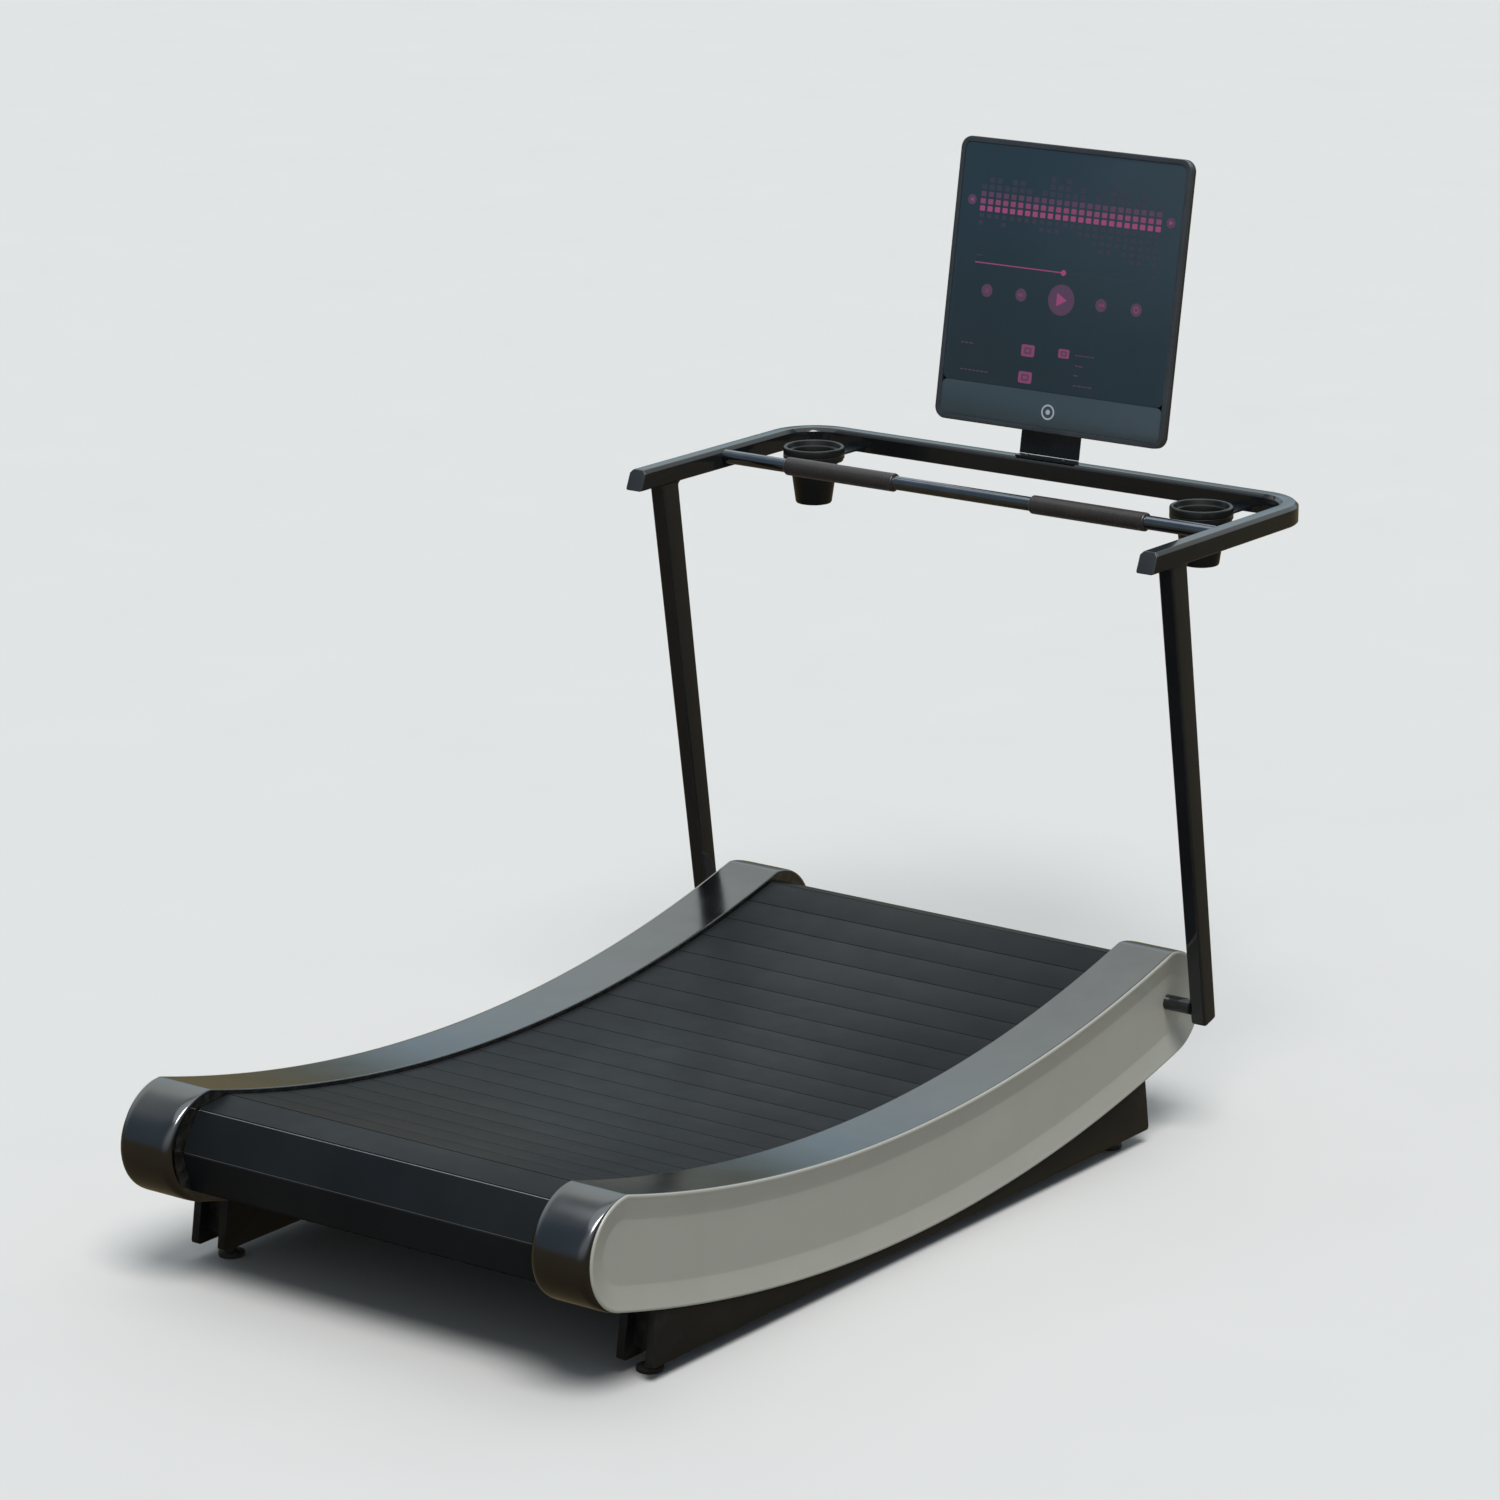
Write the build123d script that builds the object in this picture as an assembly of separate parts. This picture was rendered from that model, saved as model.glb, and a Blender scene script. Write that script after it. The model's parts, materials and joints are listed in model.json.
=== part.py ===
from build123d import *
import os
from math import sin, cos, tan, asin, acos, atan2, sqrt, pi, radians, degrees, hypot

# Curved manual treadmill, millimetres, +Z up, +Y towards the console, +X the user's right.
# All driving dimensions are worked out about the middle of the deck; SHIFT_Y then moves the
# whole machine so that the middle of its bounding box stands on the origin.

# ---------------------------------------------------------------- driving dimensions
X_IN = 357.0          # inner face of the side rails (belt side)
X_OUT = 467.0         # outer face of the side panels
T_PANEL = 3.5         # side panel sheet
T_CAP = 3.0           # rail cap sheet
R_TOP, Z_TOP = 2821.7, 3041.1     # rail top arc, radius and height of its centre
R_BOT, Z_BOT = 2967.0, 3006.0     # rail bottom arc
Y_END, R_END = 750.0, 91.2        # end rounds of the rails
Z_END = Z_BOT - sqrt((R_BOT - R_END) ** 2 - Y_END ** 2)
A_BULGE = 104.5       # how far the polished end rounds bulge, half length

PITCH = 69.3          # belt slat pitch
BELT_DROP = 7.0       # belt surface below the rail top
R_SURF = R_TOP + BELT_DROP
HINGE_H = 3.0         # hinge rods below the running surface
R_HINGE = R_SURF + HINGE_H
S_PHASE = 7.35        # offset of the slat pattern along the belt
N_TOP = 21            # slats of the top run
Y_DRUM, Z_DRUM = 735.0, 226.0
WRAP_STEP = radians(49.0)
R_WRAP = PITCH / 2 / sin(WRAP_STEP / 2)
R_DRUM = 62.0
R_SHAFT = 15.0
SLAT_X = 355.4        # half length of a slat
RIB_X = 314.0

BASE_Z = 25.0         # underside of the base rails
BASE_Y = 690.0        # half length of the base rails
BX_O0, BX_O1 = 448.0, 463.0       # outer base plate
BX_I0, BX_I1 = 393.0, 408.0       # inner base plate
FOOT_X, FOOT_R = 421.0, 21.5
FOOT_YR, FOOT_YF = -641.0, 632.0
STUD_R = 5.95

UP_X0, UP_X1 = 506.5, 535.0       # uprights
STUB_Y, STUB_Z, STUB_R = 749.0, 234.0, 13.2

ARM_X0, ARM_X1 = 505.2, 538.0     # handrail arms
RAIL_Z1, RAIL_Z0 = 1057.2, 1022.5
RAIL_FRONT = 1072.0
RAIL_RC = 78.6        # centre-line corner radius
BAR_Y, BAR_Z, BAR_R = 794.5, 1043.5, 12.0
GRIP_R, GRIP_X0, GRIP_X1 = 16.0, 141.5, 370.2

CUP_X, CUP_Y, CUP_Z = 401.3, 915.0, 1054.7

CON_W, CON_H, CON_T = 474.0, 495.5, 15.5
CON_Y, CON_Z = 1047.1, 1105.3     # lower front edge of the console
CON_LEAN = radians(9.41)

SHIFT_Y = -144.45

parts = {}


def add(name, shape):
    parts[name] = shape


# ---------------------------------------------------------------- helpers
def ext_x(sk, x0, x1):
    """extrude a sketch drawn in (Y, Z) from x0 to x1"""
    return Pos(x0, 0, 0) * extrude(Plane.YZ * sk, x1 - x0)


def poly(pts):
    return make_face(Polyline(*[(p[0], p[1]) for p in pts], close=True))


def bx(x0, x1, y0, y1, z0, z1):
    return Pos((x0 + x1) / 2, (y0 + y1) / 2, (z0 + z1) / 2) * Box(abs(x1 - x0), abs(y1 - y0), abs(z1 - z0))


def cyl_x(r, x0, x1, y, z):
    return Pos((x0 + x1) / 2, y, z) * Rot(0, 90, 0) * Cylinder(r, abs(x1 - x0))


def cyl_z(r, x, y, z0, z1):
    return Pos(x, y, (z0 + z1) / 2) * Cylinder(r, z1 - z0)


def mir(shape):
    return mirror(shape, about=Plane.YZ)


def group(items):
    """several separate solids that share one node"""
    return [q for it in items for q in it.solids()]


def band(off):
    """closed outline of the rail side, inset by off, in (Y, Z)"""
    rt, rb, re = R_TOP + off, R_BOT - off, R_END - off
    lo, hi = -0.3, 0.6

    def f(a):
        return hypot(Y_END + re * sin(a), Z_END + re * cos(a) - Z_TOP) - rt
    for _ in range(80):
        m = (lo + hi) / 2
        if f(m) > 0:
            hi_new = m
            lo, hi = (lo, m) if f(lo) * f(m) <= 0 else (m, hi)
        else:
            lo, hi = (lo, m) if f(lo) * f(m) <= 0 else (m, hi)
    a = (lo + hi) / 2
    tf = (Y_END + re * sin(a), Z_END + re * cos(a))
    d = hypot(Y_END, Z_END - Z_BOT)
    bf = (Y_END + re * Y_END / d, Z_END + re * (Z_END - Z_BOT) / d)
    ef = (Y_END + re, Z_END)
    e1 = ThreePointArc((-tf[0], tf[1]), (0, Z_TOP - rt), tf)
    e2 = ThreePointArc(tf, ef, bf)
    e3 = ThreePointArc(bf, (0, Z_BOT - rb), (-bf[0], bf[1]))
    e4 = ThreePointArc((-bf[0], bf[1]), (-ef[0], ef[1]), (-tf[0], tf[1]))
    return make_face(Wire([e1, e2, e3, e4]))


def arc_strip(r0, r1, zc, half):
    """band between two arcs centred over the deck, half = half angle"""
    def p(r, a):
        return (r * sin(a), zc - r * cos(a))
    e1 = ThreePointArc(p(r0, -half), p(r0, 0), p(r0, half))
    e2 = Line(p(r0, half), p(r1, half))
    e3 = ThreePointArc(p(r1, half), p(r1, 0), p(r1, -half))
    e4 = Line(p(r1, -half), p(r0, -half))
    return make_face(Wire([e1, e2, e3, e4]))


# ---------------------------------------------------------------- side rails
def frustum(off0, x0, off1, x1):
    """tapered plug between two inset outlines"""
    ws = [(Pos(x, 0, 0) * (Plane.YZ * band(o))).faces()[0].outer_wire() for o, x in ((off0, x0), (off1, x1))]
    return Solid.make_loft(ws, ruled=True)


def side_panel():
    # a dished sheet: narrow flat lip, wide sloping border, flat recessed field
    outer = ext_x(band(0.0), X_OUT - T_PANEL, X_OUT)
    e = outer.edges().filter_by(lambda q: abs(q.center().X - X_OUT) < 1e-4)
    try:
        outer = fillet(e, 2.0)
    except Exception:
        pass
    body = outer + frustum(3.3, X_OUT - T_PANEL, 39.0, X_OUT - 13.4)
    body -= frustum(4.3, X_OUT + 0.2, 42.0, X_OUT - 9.8)
    body -= cyl_x(STUB_R + 0.4, X_OUT - 20, X_OUT + 5, STUB_Y, STUB_Z)
    return body


def end_outline(sgn, a_half):
    """outline of an end round beyond y = Y_END, stretched along Y to the half length a_half"""
    d = hypot(Y_END, Z_END - Z_BOT)
    by, bz = Y_END + R_END * Y_END / d, Z_END + R_END * (Z_END - Z_BOT) / d
    pts = []
    for i in range(4):
        y = Y_END + (by - Y_END) * i / 4.0
        pts.append((y, Z_BOT - sqrt(R_BOT ** 2 - y * y)))
    t0 = atan2(bz - Z_END, by - Y_END)
    for i in range(25):
        t = t0 + (pi / 2 - t0) * i / 24.0
        pts.append((Y_END + R_END * cos(t), Z_END + R_END * sin(t)))
    k = a_half / R_END
    return [(sgn * (Y_END + (y - Y_END) * k), z) for y, z in pts]


def rail_cap():
    x1 = X_OUT - T_PANEL
    ztop = Z_END + R_END
    ring = ext_x(band(0.0), X_IN, x1)
    for sgn in (-1, 1):
        ring -= bx(X_IN - 1, x1 + 1, sgn * Y_END, sgn * (Y_END + 200), 0, 500)
    secs = [(X_IN, 91.2), (X_IN + 3, 97.5), (X_IN + 8, 102.5), (X_IN + 16, A_BULGE),
            (x1 - 16, A_BULGE), (x1 - 8, 102.5), (x1 - 3, 97.5), (x1, 91.2)]
    for sgn in (-1, 1):
        faces = []
        for x, a in secs:
            pts = end_outline(sgn, a)
            w = Wire([Spline(*[(x, q[0], q[1]) for q in pts]),
                      Line((x, pts[-1][0], pts[-1][1]), (x, pts[0][0], pts[0][1]))])
            faces.append(Face(w))
        bul = Solid.make_loft([f.outer_wire() for f in faces], ruled=True)
        ring = ring + bul
    ring -= ext_x(band(T_CAP), X_IN - 1, x1 + 1)
    ring -= bx(X_IN - 5, x1 + 5, -BASE_Y - 3, BASE_Y + 3, -50, 160)
    return ring


def frame_plate():
    pl = ext_x(band(T_CAP + 0.2), X_IN, X_IN + 6)
    for sgn in (-1, 1):
        pl -= cyl_x(R_SHAFT + 1.0, X_IN - 5, X_IN + 15, sgn * Y_DRUM, Z_DRUM)
    return pl


add("right_side_panel", side_panel())
add("left_side_panel", mir(side_panel()))
add("right_rail_cap", rail_cap())
add("left_rail_cap", mir(rail_cap()))
add("right_frame_plate", frame_plate())
add("left_frame_plate", mir(frame_plate()))

# ---------------------------------------------------------------- cross tubes
def cross_tube(y, zc, hz, hy):
    t = bx(-X_IN, X_IN, y - hy, y + hy, zc - hz, zc + hz) - bx(-X_IN - 1, X_IN + 1, y - hy + 3, y + hy - 3, zc - hz + 3, zc + hz - 3)
    return t


add("front_cross_tube", cross_tube(430.0, 180.0, 25.0, 25.0))
add("middle_cross_tube", cross_tube(0.0, 150.0, 25.0, 25.0))
add("rear_cross_tube", cross_tube(-430.0, 180.0, 25.0, 25.0))

# ---------------------------------------------------------------- slide tracks
TRACK_HALF = asin(655.0 / R_SURF)
tr = ext_x(arc_strip(R_SURF + 6.4, R_SURF + 18.0, Z_TOP, TRACK_HALF), 320.0, X_IN)
add("right_slide_track", tr)
add("left_slide_track", mir(tr))

# ---------------------------------------------------------------- belt
RIB0, RIB1, RIB_D = 14.0, 19.0, 13.0
SLAT_PTS = [(-33.8, 0), (33.8, 0), (34.3, -0.5), (34.3, -1.3), (32.9, -1.6), (32.9, -4.4), (31.0, -6.0),
            (-31.0, -6.0), (-32.9, -4.4), (-32.9, -1.6), (-34.3, -1.3), (-34.3, -0.5)]
slat_top = ext_x(poly(SLAT_PTS), -SLAT_X, SLAT_X)
slat_rib = ext_x(poly([(RIB0, -5.9), (RIB1, -5.9), (RIB1, -RIB_D), (RIB0, -RIB_D)]), -RIB_X, RIB_X) + \
    ext_x(poly([(-RIB1, -5.9), (-RIB0, -5.9), (-RIB0, -RIB_D), (-RIB1, -RIB_D)]), -RIB_X, RIB_X)
SLAT = slat_top + slat_rib
ROD = Rot(0, 90, 0) * Cylinder(1.45, 2 * (SLAT_X - 2))


def slat_between(p, q):
    """slat whose hinge line runs from p to q, travelling clockwise seen from +X outwards-up"""
    ang = atan2(q[1] - p[1], q[0] - p[0])
    ux, uz = cos(ang), sin(ang)
    nx, nz = -uz, ux                       # outward side
    c = ((p[0] + q[0]) / 2 + nx * HINGE_H, (p[1] + q[1]) / 2 + nz * HINGE_H)
    return Pos(0, c[0], c[1]) * Rot(degrees(ang), 0, 0) * SLAT


def rod_at(p):
    return Pos(0, p[0], p[1]) * ROD


# hinge points of the top run, rear to front
top_pts = []
for j in range(-11, 11):
    s = S_PHASE + PITCH * (j + 0.5)
    th = s / R_HINGE
    top_pts.append((R_HINGE * sin(th), Z_TOP - R_HINGE * cos(th)))


def step_onto(p, c, r, d, clockwise):
    """point at distance d from p on the circle (c, r), on the outward side"""
    dx, dz = p[0] - c[0], p[1] - c[1]
    D = hypot(dx, dz)
    a0 = atan2(dz, dx)
    cosb = (r * r + D * D - d * d) / (2 * r * D)
    b = acos(cosb)
    a = a0 - b if clockwise else a0 + b
    return (c[0] + r * cos(a), c[1] + r * sin(a)), a


def wrap(p0, c, clockwise, n):
    pts = [p0]
    q, a = step_onto(p0, c, R_WRAP, PITCH, clockwise)
    pts.append(q)
    for _ in range(n - 1):
        a = a - WRAP_STEP if clockwise else a + WRAP_STEP
        pts.append((c[0] + R_WRAP * cos(a), c[1] + R_WRAP * sin(a)))
    return pts


front_c = (Y_DRUM, Z_DRUM)
rear_c = (-Y_DRUM, Z_DRUM)
front_pts = wrap(top_pts[-1], front_c, True, 4)      # over the front drum and down
rear_pts = wrap(top_pts[0], rear_c, False, 4)        # over the rear drum and down

# return run: a shallow circular sag joining the two ends with a whole number of slats
A, B = front_pts[-1], rear_pts[-1]
chord = hypot(A[0] - B[0], A[1] - B[1])
n_ret = int(chord / PITCH) + 1


def total_gap(m, n):
    return 2 * asin(min(1, chord / 2 / m)) - n * 2 * asin(PITCH / 2 / m)


# smaller radius -> deeper sag -> the chord subtends more; find the radius where n slats just fit
lo, hi = chord / 2 + 0.5, 60000.0
for _ in range(200):
    m = (lo + hi) / 2
    if total_gap(m, n_ret) > 0:
        lo = m
    else:
        hi = m
R_RET = (lo + hi) / 2
mid = ((A[0] + B[0]) / 2, (A[1] + B[1]) / 2)
hgt = sqrt(R_RET ** 2 - (chord / 2) ** 2)
ux, uz = (A[0] - B[0]) / chord, (A[1] - B[1]) / chord
RET_C = (mid[0] - uz * hgt, mid[1] + ux * hgt)       # centre above the run
ret_pts = []
aA = atan2(A[1] - RET_C[1], A[0] - RET_C[0])
stp = 2 * asin(PITCH / 2 / R_RET)
for k in range(n_ret + 1):
    a = aA - stp * k
    ret_pts.append((RET_C[0] + R_RET * cos(a), RET_C[1] + R_RET * sin(a)))

add("top_slats", group([slat_between(top_pts[i], top_pts[i + 1]) for i in range(N_TOP)]))
add("top_rods", group([rod_at(p) for p in top_pts[1:-1]]))
add("front_wrap_slats", group([slat_between(front_pts[i], front_pts[i + 1]) for i in range(len(front_pts) - 1)]))
add("front_wrap_rods", group([rod_at(p) for p in front_pts[1:-1]]))
add("rear_wrap_slats", group([slat_between(rear_pts[i + 1], rear_pts[i]) for i in range(len(rear_pts) - 1)]))
add("rear_wrap_rods", group([rod_at(p) for p in rear_pts[1:-1]]))
add("return_slats", group([slat_between(ret_pts[i], ret_pts[i + 1]) for i in range(n_ret)]))
add("return_rods", group([rod_at(p) for p in ret_pts[1:-1]]))

# ---------------------------------------------------------------- drums, shafts, bearings
def drum(y):
    d = cyl_x(R_DRUM, -310, 310, y, Z_DRUM) - cyl_x(R_DRUM - 5, -302, 302, y, Z_DRUM)
    d -= cyl_x(R_SHAFT, -320, 320, y, Z_DRUM)
    return d


def shaft(y):
    return cyl_x(R_SHAFT, -384, 384, y, Z_DRUM)


def bearing(y):
    b = cyl_x(40, X_IN + 6, X_IN + 26, y, Z_DRUM) - cyl_x(R_SHAFT + 0.05, X_IN, X_IN + 40, y, Z_DRUM)
    return b


for nm, sg in (("front", 1), ("rear", -1)):
    add(nm + "_drum", drum(sg * Y_DRUM))
    add(nm + "_drum_shaft", shaft(sg * Y_DRUM))
    bb = bearing(sg * Y_DRUM)
    add(nm + "_bearings", group([bb, mir(bb)]))

# ---------------------------------------------------------------- base rails
def base_profile(inset_end, z0, top_off):
    """outline of a base plate: flat underside, sloping ends, arched top"""
    rt = R_BOT - top_off
    yb = BASE_Y - inset_end

    def top_z(y):
        return Z_BOT - sqrt(rt * rt - y * y)
    slope = 19.0 / 122.0
    yt = yb - slope * (top_z(yb - 19.0) - BASE_Z)
    y0 = yb - slope * (z0 - BASE_Z)
    zt = top_z(yt)
    return y0, yt, zt, rt


def base_face(inset_end, z0, top_off):
    y0, yt, zt, rt = base_profile(inset_end, z0, top_off)
    e1 = Line((-y0, z0), (y0, z0))
    e2 = Line((y0, z0), (yt, zt))
    e3 = ThreePointArc((yt, zt), (0, Z_BOT - rt), (-yt, zt))
    e4 = Line((-yt, zt), (-y0, z0))
    return make_face(Wire([e1, e2, e3, e4]))


def base_plate(x0, x1, top_off):
    pl = ext_x(base_face(0.0, BASE_Z, top_off), x0, x1)
    es = pl.edges().filter_by(Axis.X).filter_by(lambda q: q.center().Z < BASE_Z + 1)
    pl = fillet(es, 6.0)
    return pl


def base_web():
    # a thin folded box between the two plates, recessed from their ends and lower edges
    w = ext_x(base_face(20.0, BASE_Z + 20.0, 34.0), BX_I1, BX_O0)
    w -= ext_x(base_face(26.0, BASE_Z + 26.0, 38.5), BX_I1 - 1, BX_O0 + 1)
    for fy in (FOOT_YR, FOOT_YF):
        w -= cyl_z(6.0, FOOT_X, fy, 0, 80)
    return w


add("right_outer_base_plate", base_plate(BX_O0, BX_O1, 2.0))
add("right_inner_base_plate", base_plate(BX_I0, BX_I1, 30.0))
add("right_base_web", base_web())
add("left_outer_base_plate", mir(base_plate(BX_O0, BX_O1, 2.0)))
add("left_inner_base_plate", mir(base_plate(BX_I0, BX_I1, 30.0)))
add("left_base_web", mir(base_web()))

ties = []
for ty in (-560.0, -190.0, 190.0, 560.0):
    zf = Z_BOT - sqrt((R_BOT - T_CAP - 1.0) ** 2 - (abs(ty) + 25) ** 2) + 2.0
    zt = Z_BOT - sqrt((R_BOT - 30.0) ** 2 - (abs(ty) - 25) ** 2) - 3.0
    t = bx(X_IN + 6, BX_I0, ty - 25, ty + 25, zf, zt)
    ties += [t, mir(t)]
add("base_tie_blocks", group(ties))

nuts = []
for fy in (FOOT_YR, FOOT_YF):
    n = Pos(FOOT_X, fy, BASE_Z + 13.0) * extrude(RegularPolygon(10.0, 6), 7.0) - cyl_z(6.0, FOOT_X, fy, 20, 60)
    nuts += [n, mir(n)]
add("foot_lock_nuts", group(nuts))


def foot(x, y):
    pad = Pos(x, y, 0) * extrude(Circle(FOOT_R), 8.0)
    pad = chamfer(pad.edges().filter_by(lambda q: q.center().Z > 7.9), 1.5)
    neck = cyl_z(9.0, x, y, 8.0, 14.0)
    stud = cyl_z(STUD_R, x, y, 14.0, 76.0)
    return pad + neck + stud


add("right_rear_foot", foot(FOOT_X, FOOT_YR))
add("left_rear_foot", foot(-FOOT_X, FOOT_YR))
add("right_front_foot", foot(FOOT_X, FOOT_YF))
add("left_front_foot", foot(-FOOT_X, FOOT_YF))

# ---------------------------------------------------------------- uprights and their stubs
def up_rear(z):
    return 616.2 + (1006.7 - z) * 0.1625


def up_front(z):
    return 664.5 + (993.0 - z) * 0.1493


def upright():
    pts = [(up_rear(RAIL_Z0), RAIL_Z0), (up_rear(203.0), 203.0), (up_front(213.0), 213.0), (up_front(RAIL_Z0), RAIL_Z0)]
    u = ext_x(poly(pts), UP_X0, UP_X1)
    es = u.edges().filter_by(Axis.X).filter_by(lambda q: q.center().Z < 300)
    u = fillet(es, 6.0)
    inner = ext_x(poly([(up_rear(RAIL_Z0) + 3, RAIL_Z0 + 1), (up_rear(215.0) + 3, 215.0),
                        (up_front(222.0) - 3, 222.0), (up_front(RAIL_Z0) - 3, RAIL_Z0 + 1)]), UP_X0 + 3, UP_X1 - 3)
    long_e = u.edges().filter_by(lambda q: q.length > 600)
    try:
        u = fillet(long_e, 4.0)
    except Exception:
        pass
    u = u - inner
    # small weld fillets under the handrail arm
    r = 8.0
    zt = RAIL_Z0
    for ye, sg in ((up_front(zt), 1), (up_rear(zt), -1)):
        gus = ext_x(poly([(ye - sg * 2.5, zt), (ye + sg * r, zt), (ye + sg * (r + 1.2), zt - r), (ye - sg * 1.2, zt - r)]), UP_X0 + 1.5, UP_X1 - 1.5)
        gus -= cyl_x(r, UP_X0, UP_X1, ye + sg * (r + 0.6), zt - r)
        gs = sorted(gus.solids(), key=lambda q: -q.volume)[0]
        u = u + gs
    return u


def stub():
    s = cyl_x(STUB_R, 397.0, UP_X0, STUB_Y, STUB_Z)
    fl = bx(389.0, 397.0, Y_END - 55, Y_END + 55, Z_END - 55, Z_END + 55)
    for sy in (-46, 46):
        for sz in (-46, 46):
            fl += cyl_x(8.0, X_IN + 6, 389.0, Y_END + sy, Z_END + sz)
    return s + fl


add("right_upright", upright())
add("left_upright", mir(upright()))
add("right_upright_stub", stub())
add("left_upright_stub", mir(stub()))
bolts = []
for sy in (-46, 46):
    for sz in (-46, 46):
        b = Pos(397.0, Y_END + sy, Z_END + sz) * Rot(0, 90, 0) * extrude(RegularPolygon(7.5, 6), 5.0)
        bolts += [b, mir(b)]
add("stub_bolts", group(bolts))

# ---------------------------------------------------------------- handrail frame
W = ARM_X1 - ARM_X0
H = RAIL_Z1 - RAIL_Z0
XC = (ARM_X0 + ARM_X1) / 2
YC = RAIL_FRONT - W / 2
ZC = (RAIL_Z0 + RAIL_Z1) / 2
Y0 = 530.0
k = RAIL_RC * (1 - cos(pi / 4))
path = Wire([
    Line((-XC, Y0, ZC), (-XC, YC - RAIL_RC, ZC)),
    ThreePointArc((-XC, YC - RAIL_RC, ZC), (-XC + k, YC - k, ZC), (-XC + RAIL_RC, YC, ZC)),
    Line((-XC + RAIL_RC, YC, ZC), (XC - RAIL_RC, YC, ZC)),
    ThreePointArc((XC - RAIL_RC, YC, ZC), (XC - k, YC - k, ZC), (XC, YC - RAIL_RC, ZC)),
    Line((XC, YC - RAIL_RC, ZC), (XC, Y0, ZC)),
])
cw, cb = 6.0, 2.5
sec_pts = [(-W / 2 + cw, H / 2), (W / 2 - cw, H / 2), (W / 2, H / 2 - cw), (W / 2, -H / 2 + cb), (W / 2 - cb, -H / 2),
           (-W / 2 + cb, -H / 2), (-W / 2, -H / 2 + cb), (-W / 2, H / 2 - cw)]
sec = Plane(origin=(-XC, Y0, ZC), x_dir=(1, 0, 0), z_dir=(0, -1, 0)) * poly(sec_pts)
rail = sweep(sec, path=path)
# the tube is hollow: the same eight-sided section, TUBE_T smaller all round
TUBE_T = 3.0
wi, hi_ = W / 2 - TUBE_T, H / 2 - TUBE_T
ci = cw - TUBE_T * (2 - sqrt(2))
in_pts = [(-wi + ci, hi_), (wi - ci, hi_), (wi, hi_ - ci), (wi, -hi_), (-wi, -hi_), (-wi, hi_ - ci)]
isec = Plane(origin=(-XC, Y0, ZC), x_dir=(1, 0, 0), z_dir=(0, -1, 0)) * poly(in_pts)
rail_in = sweep(isec, path=path)
# sloping rear ends of the arms, set back for the end caps
END_TOP, END_BOT = 564.4, 549.7
sl = (END_TOP - END_BOT) / H


def end_cut(d):
    zt, zb = RAIL_Z1 + 30, RAIL_Z0 - 30
    return ext_x(poly([(END_BOT - 30 * sl + d, zb), (END_TOP + 30 * sl + d, zt), (400, zt), (400, zb)]), -700, 700)


CAP_T = 4.0
arm_blank = rail
rail = rail - rail_in - end_cut(CAP_T)
capz = arm_blank & (end_cut(CAP_T) - end_cut(0.0))
add("handrail_frame", rail)
cap_r = [s for s in capz.solids() if s.center().X > 0][0]
cap_l = [s for s in capz.solids() if s.center().X < 0][0]
add("right_arm_cap", cap_r)
add("left_arm_cap", cap_l)

bar = cyl_x(BAR_R, -ARM_X0, ARM_X0, BAR_Y, BAR_Z) - cyl_x(BAR_R - 2.5, -ARM_X0 + 3, ARM_X0 - 3, BAR_Y, BAR_Z)
add("crossbar", bar)
g = cyl_x(GRIP_R, GRIP_X0, GRIP_X1, BAR_Y, BAR_Z)
g = chamfer(g.edges().filter_by(GeomType.CIRCLE), 2.5) - cyl_x(BAR_R, 0, 400, BAR_Y, BAR_Z)
add("right_grip", g)
add("left_grip", mir(g))

# ---------------------------------------------------------------- cup holders
def cup(x):
    z = CUP_Z
    pts = [(0, z - 101.5), (29.0, z - 101.5), (32.0, z - 98.5), (43.0, z - 21.0), (54.0, z - 21.0), (54.0, z - 3.0),
           (51.5, z), (48.5, z), (46.8, z - 2.5), (40.5, z - 21.0), (29.5, z - 97.0), (27.5, z - 98.5), (0, z - 98.5)]
    f = Plane.XZ * poly(pts)
    return Pos(x, CUP_Y, 0) * revolve(f, Axis.Z, 360)



add("right_cup_holder", cup(CUP_X))
add("left_cup_holder", cup(-CUP_X))
yb = YC - W / 2                      # inner face of the front bar
br = Pos(CUP_X, CUP_Y, CUP_Z - 25.0) * extrude(Circle(52.0) - Circle(43.2), 4.0)
tongue = bx(CUP_X - 20, CUP_X + 20, CUP_Y + 48.5, yb, CUP_Z - 25.0, CUP_Z - 21.0)
tongue -= cyl_z(43.2, CUP_X, CUP_Y, 900, 1100)
lip = bx(CUP_X - 20, CUP_X + 20, yb - 4.0, yb, RAIL_Z0 + 3.0, CUP_Z - 21.0)
brk = br + tongue + lip
add("right_cup_bracket", brk)
add("left_cup_bracket", mir(brk))

# ---------------------------------------------------------------- console
CP = Plane(origin=(0, CON_Y, CON_Z), x_dir=(1, 0, 0), z_dir=(0, -cos(CON_LEAN), sin(CON_LEAN)))


def slab(w, h, r, y0, z0, z1):
    """rounded plate in console coordinates: width w, from y0 up h, between depths z0..z1"""
    f = Pos(0, y0 + h / 2, z0) * RectangleRounded(w, h, r)
    return extrude(f, z1 - z0)


bezel = slab(CON_W, CON_H, 21, 0, -9.0, 0) - slab(CON_W - 18, CON_H - 18, 13, 9.0, -10, 1)
try:
    be = bezel.edges().filter_by(lambda q: abs(q.center().Z) < 1e-6 and q.length > 0)
    outer_e = [q for q in be if (abs(q.center().X) > CON_W / 2 - 8 or q.center().Y < 8 or q.center().Y > CON_H - 8)]
    bezel = fillet(outer_e, 1.6)
except Exception:
    pass
add("console_bezel", CP * bezel)
STRIP_H = 60.7
add("control_strip", CP * slab(CON_W - 18.6, STRIP_H, 12.0, 9.3, -4.5, -1.2))
glass_y = 9.3 + STRIP_H + 0.4
add("screen_glass", CP * slab(CON_W - 18.6, CON_H - 9.3 - glass_y, 12.0, glass_y, -4.5, -1.2))
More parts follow.
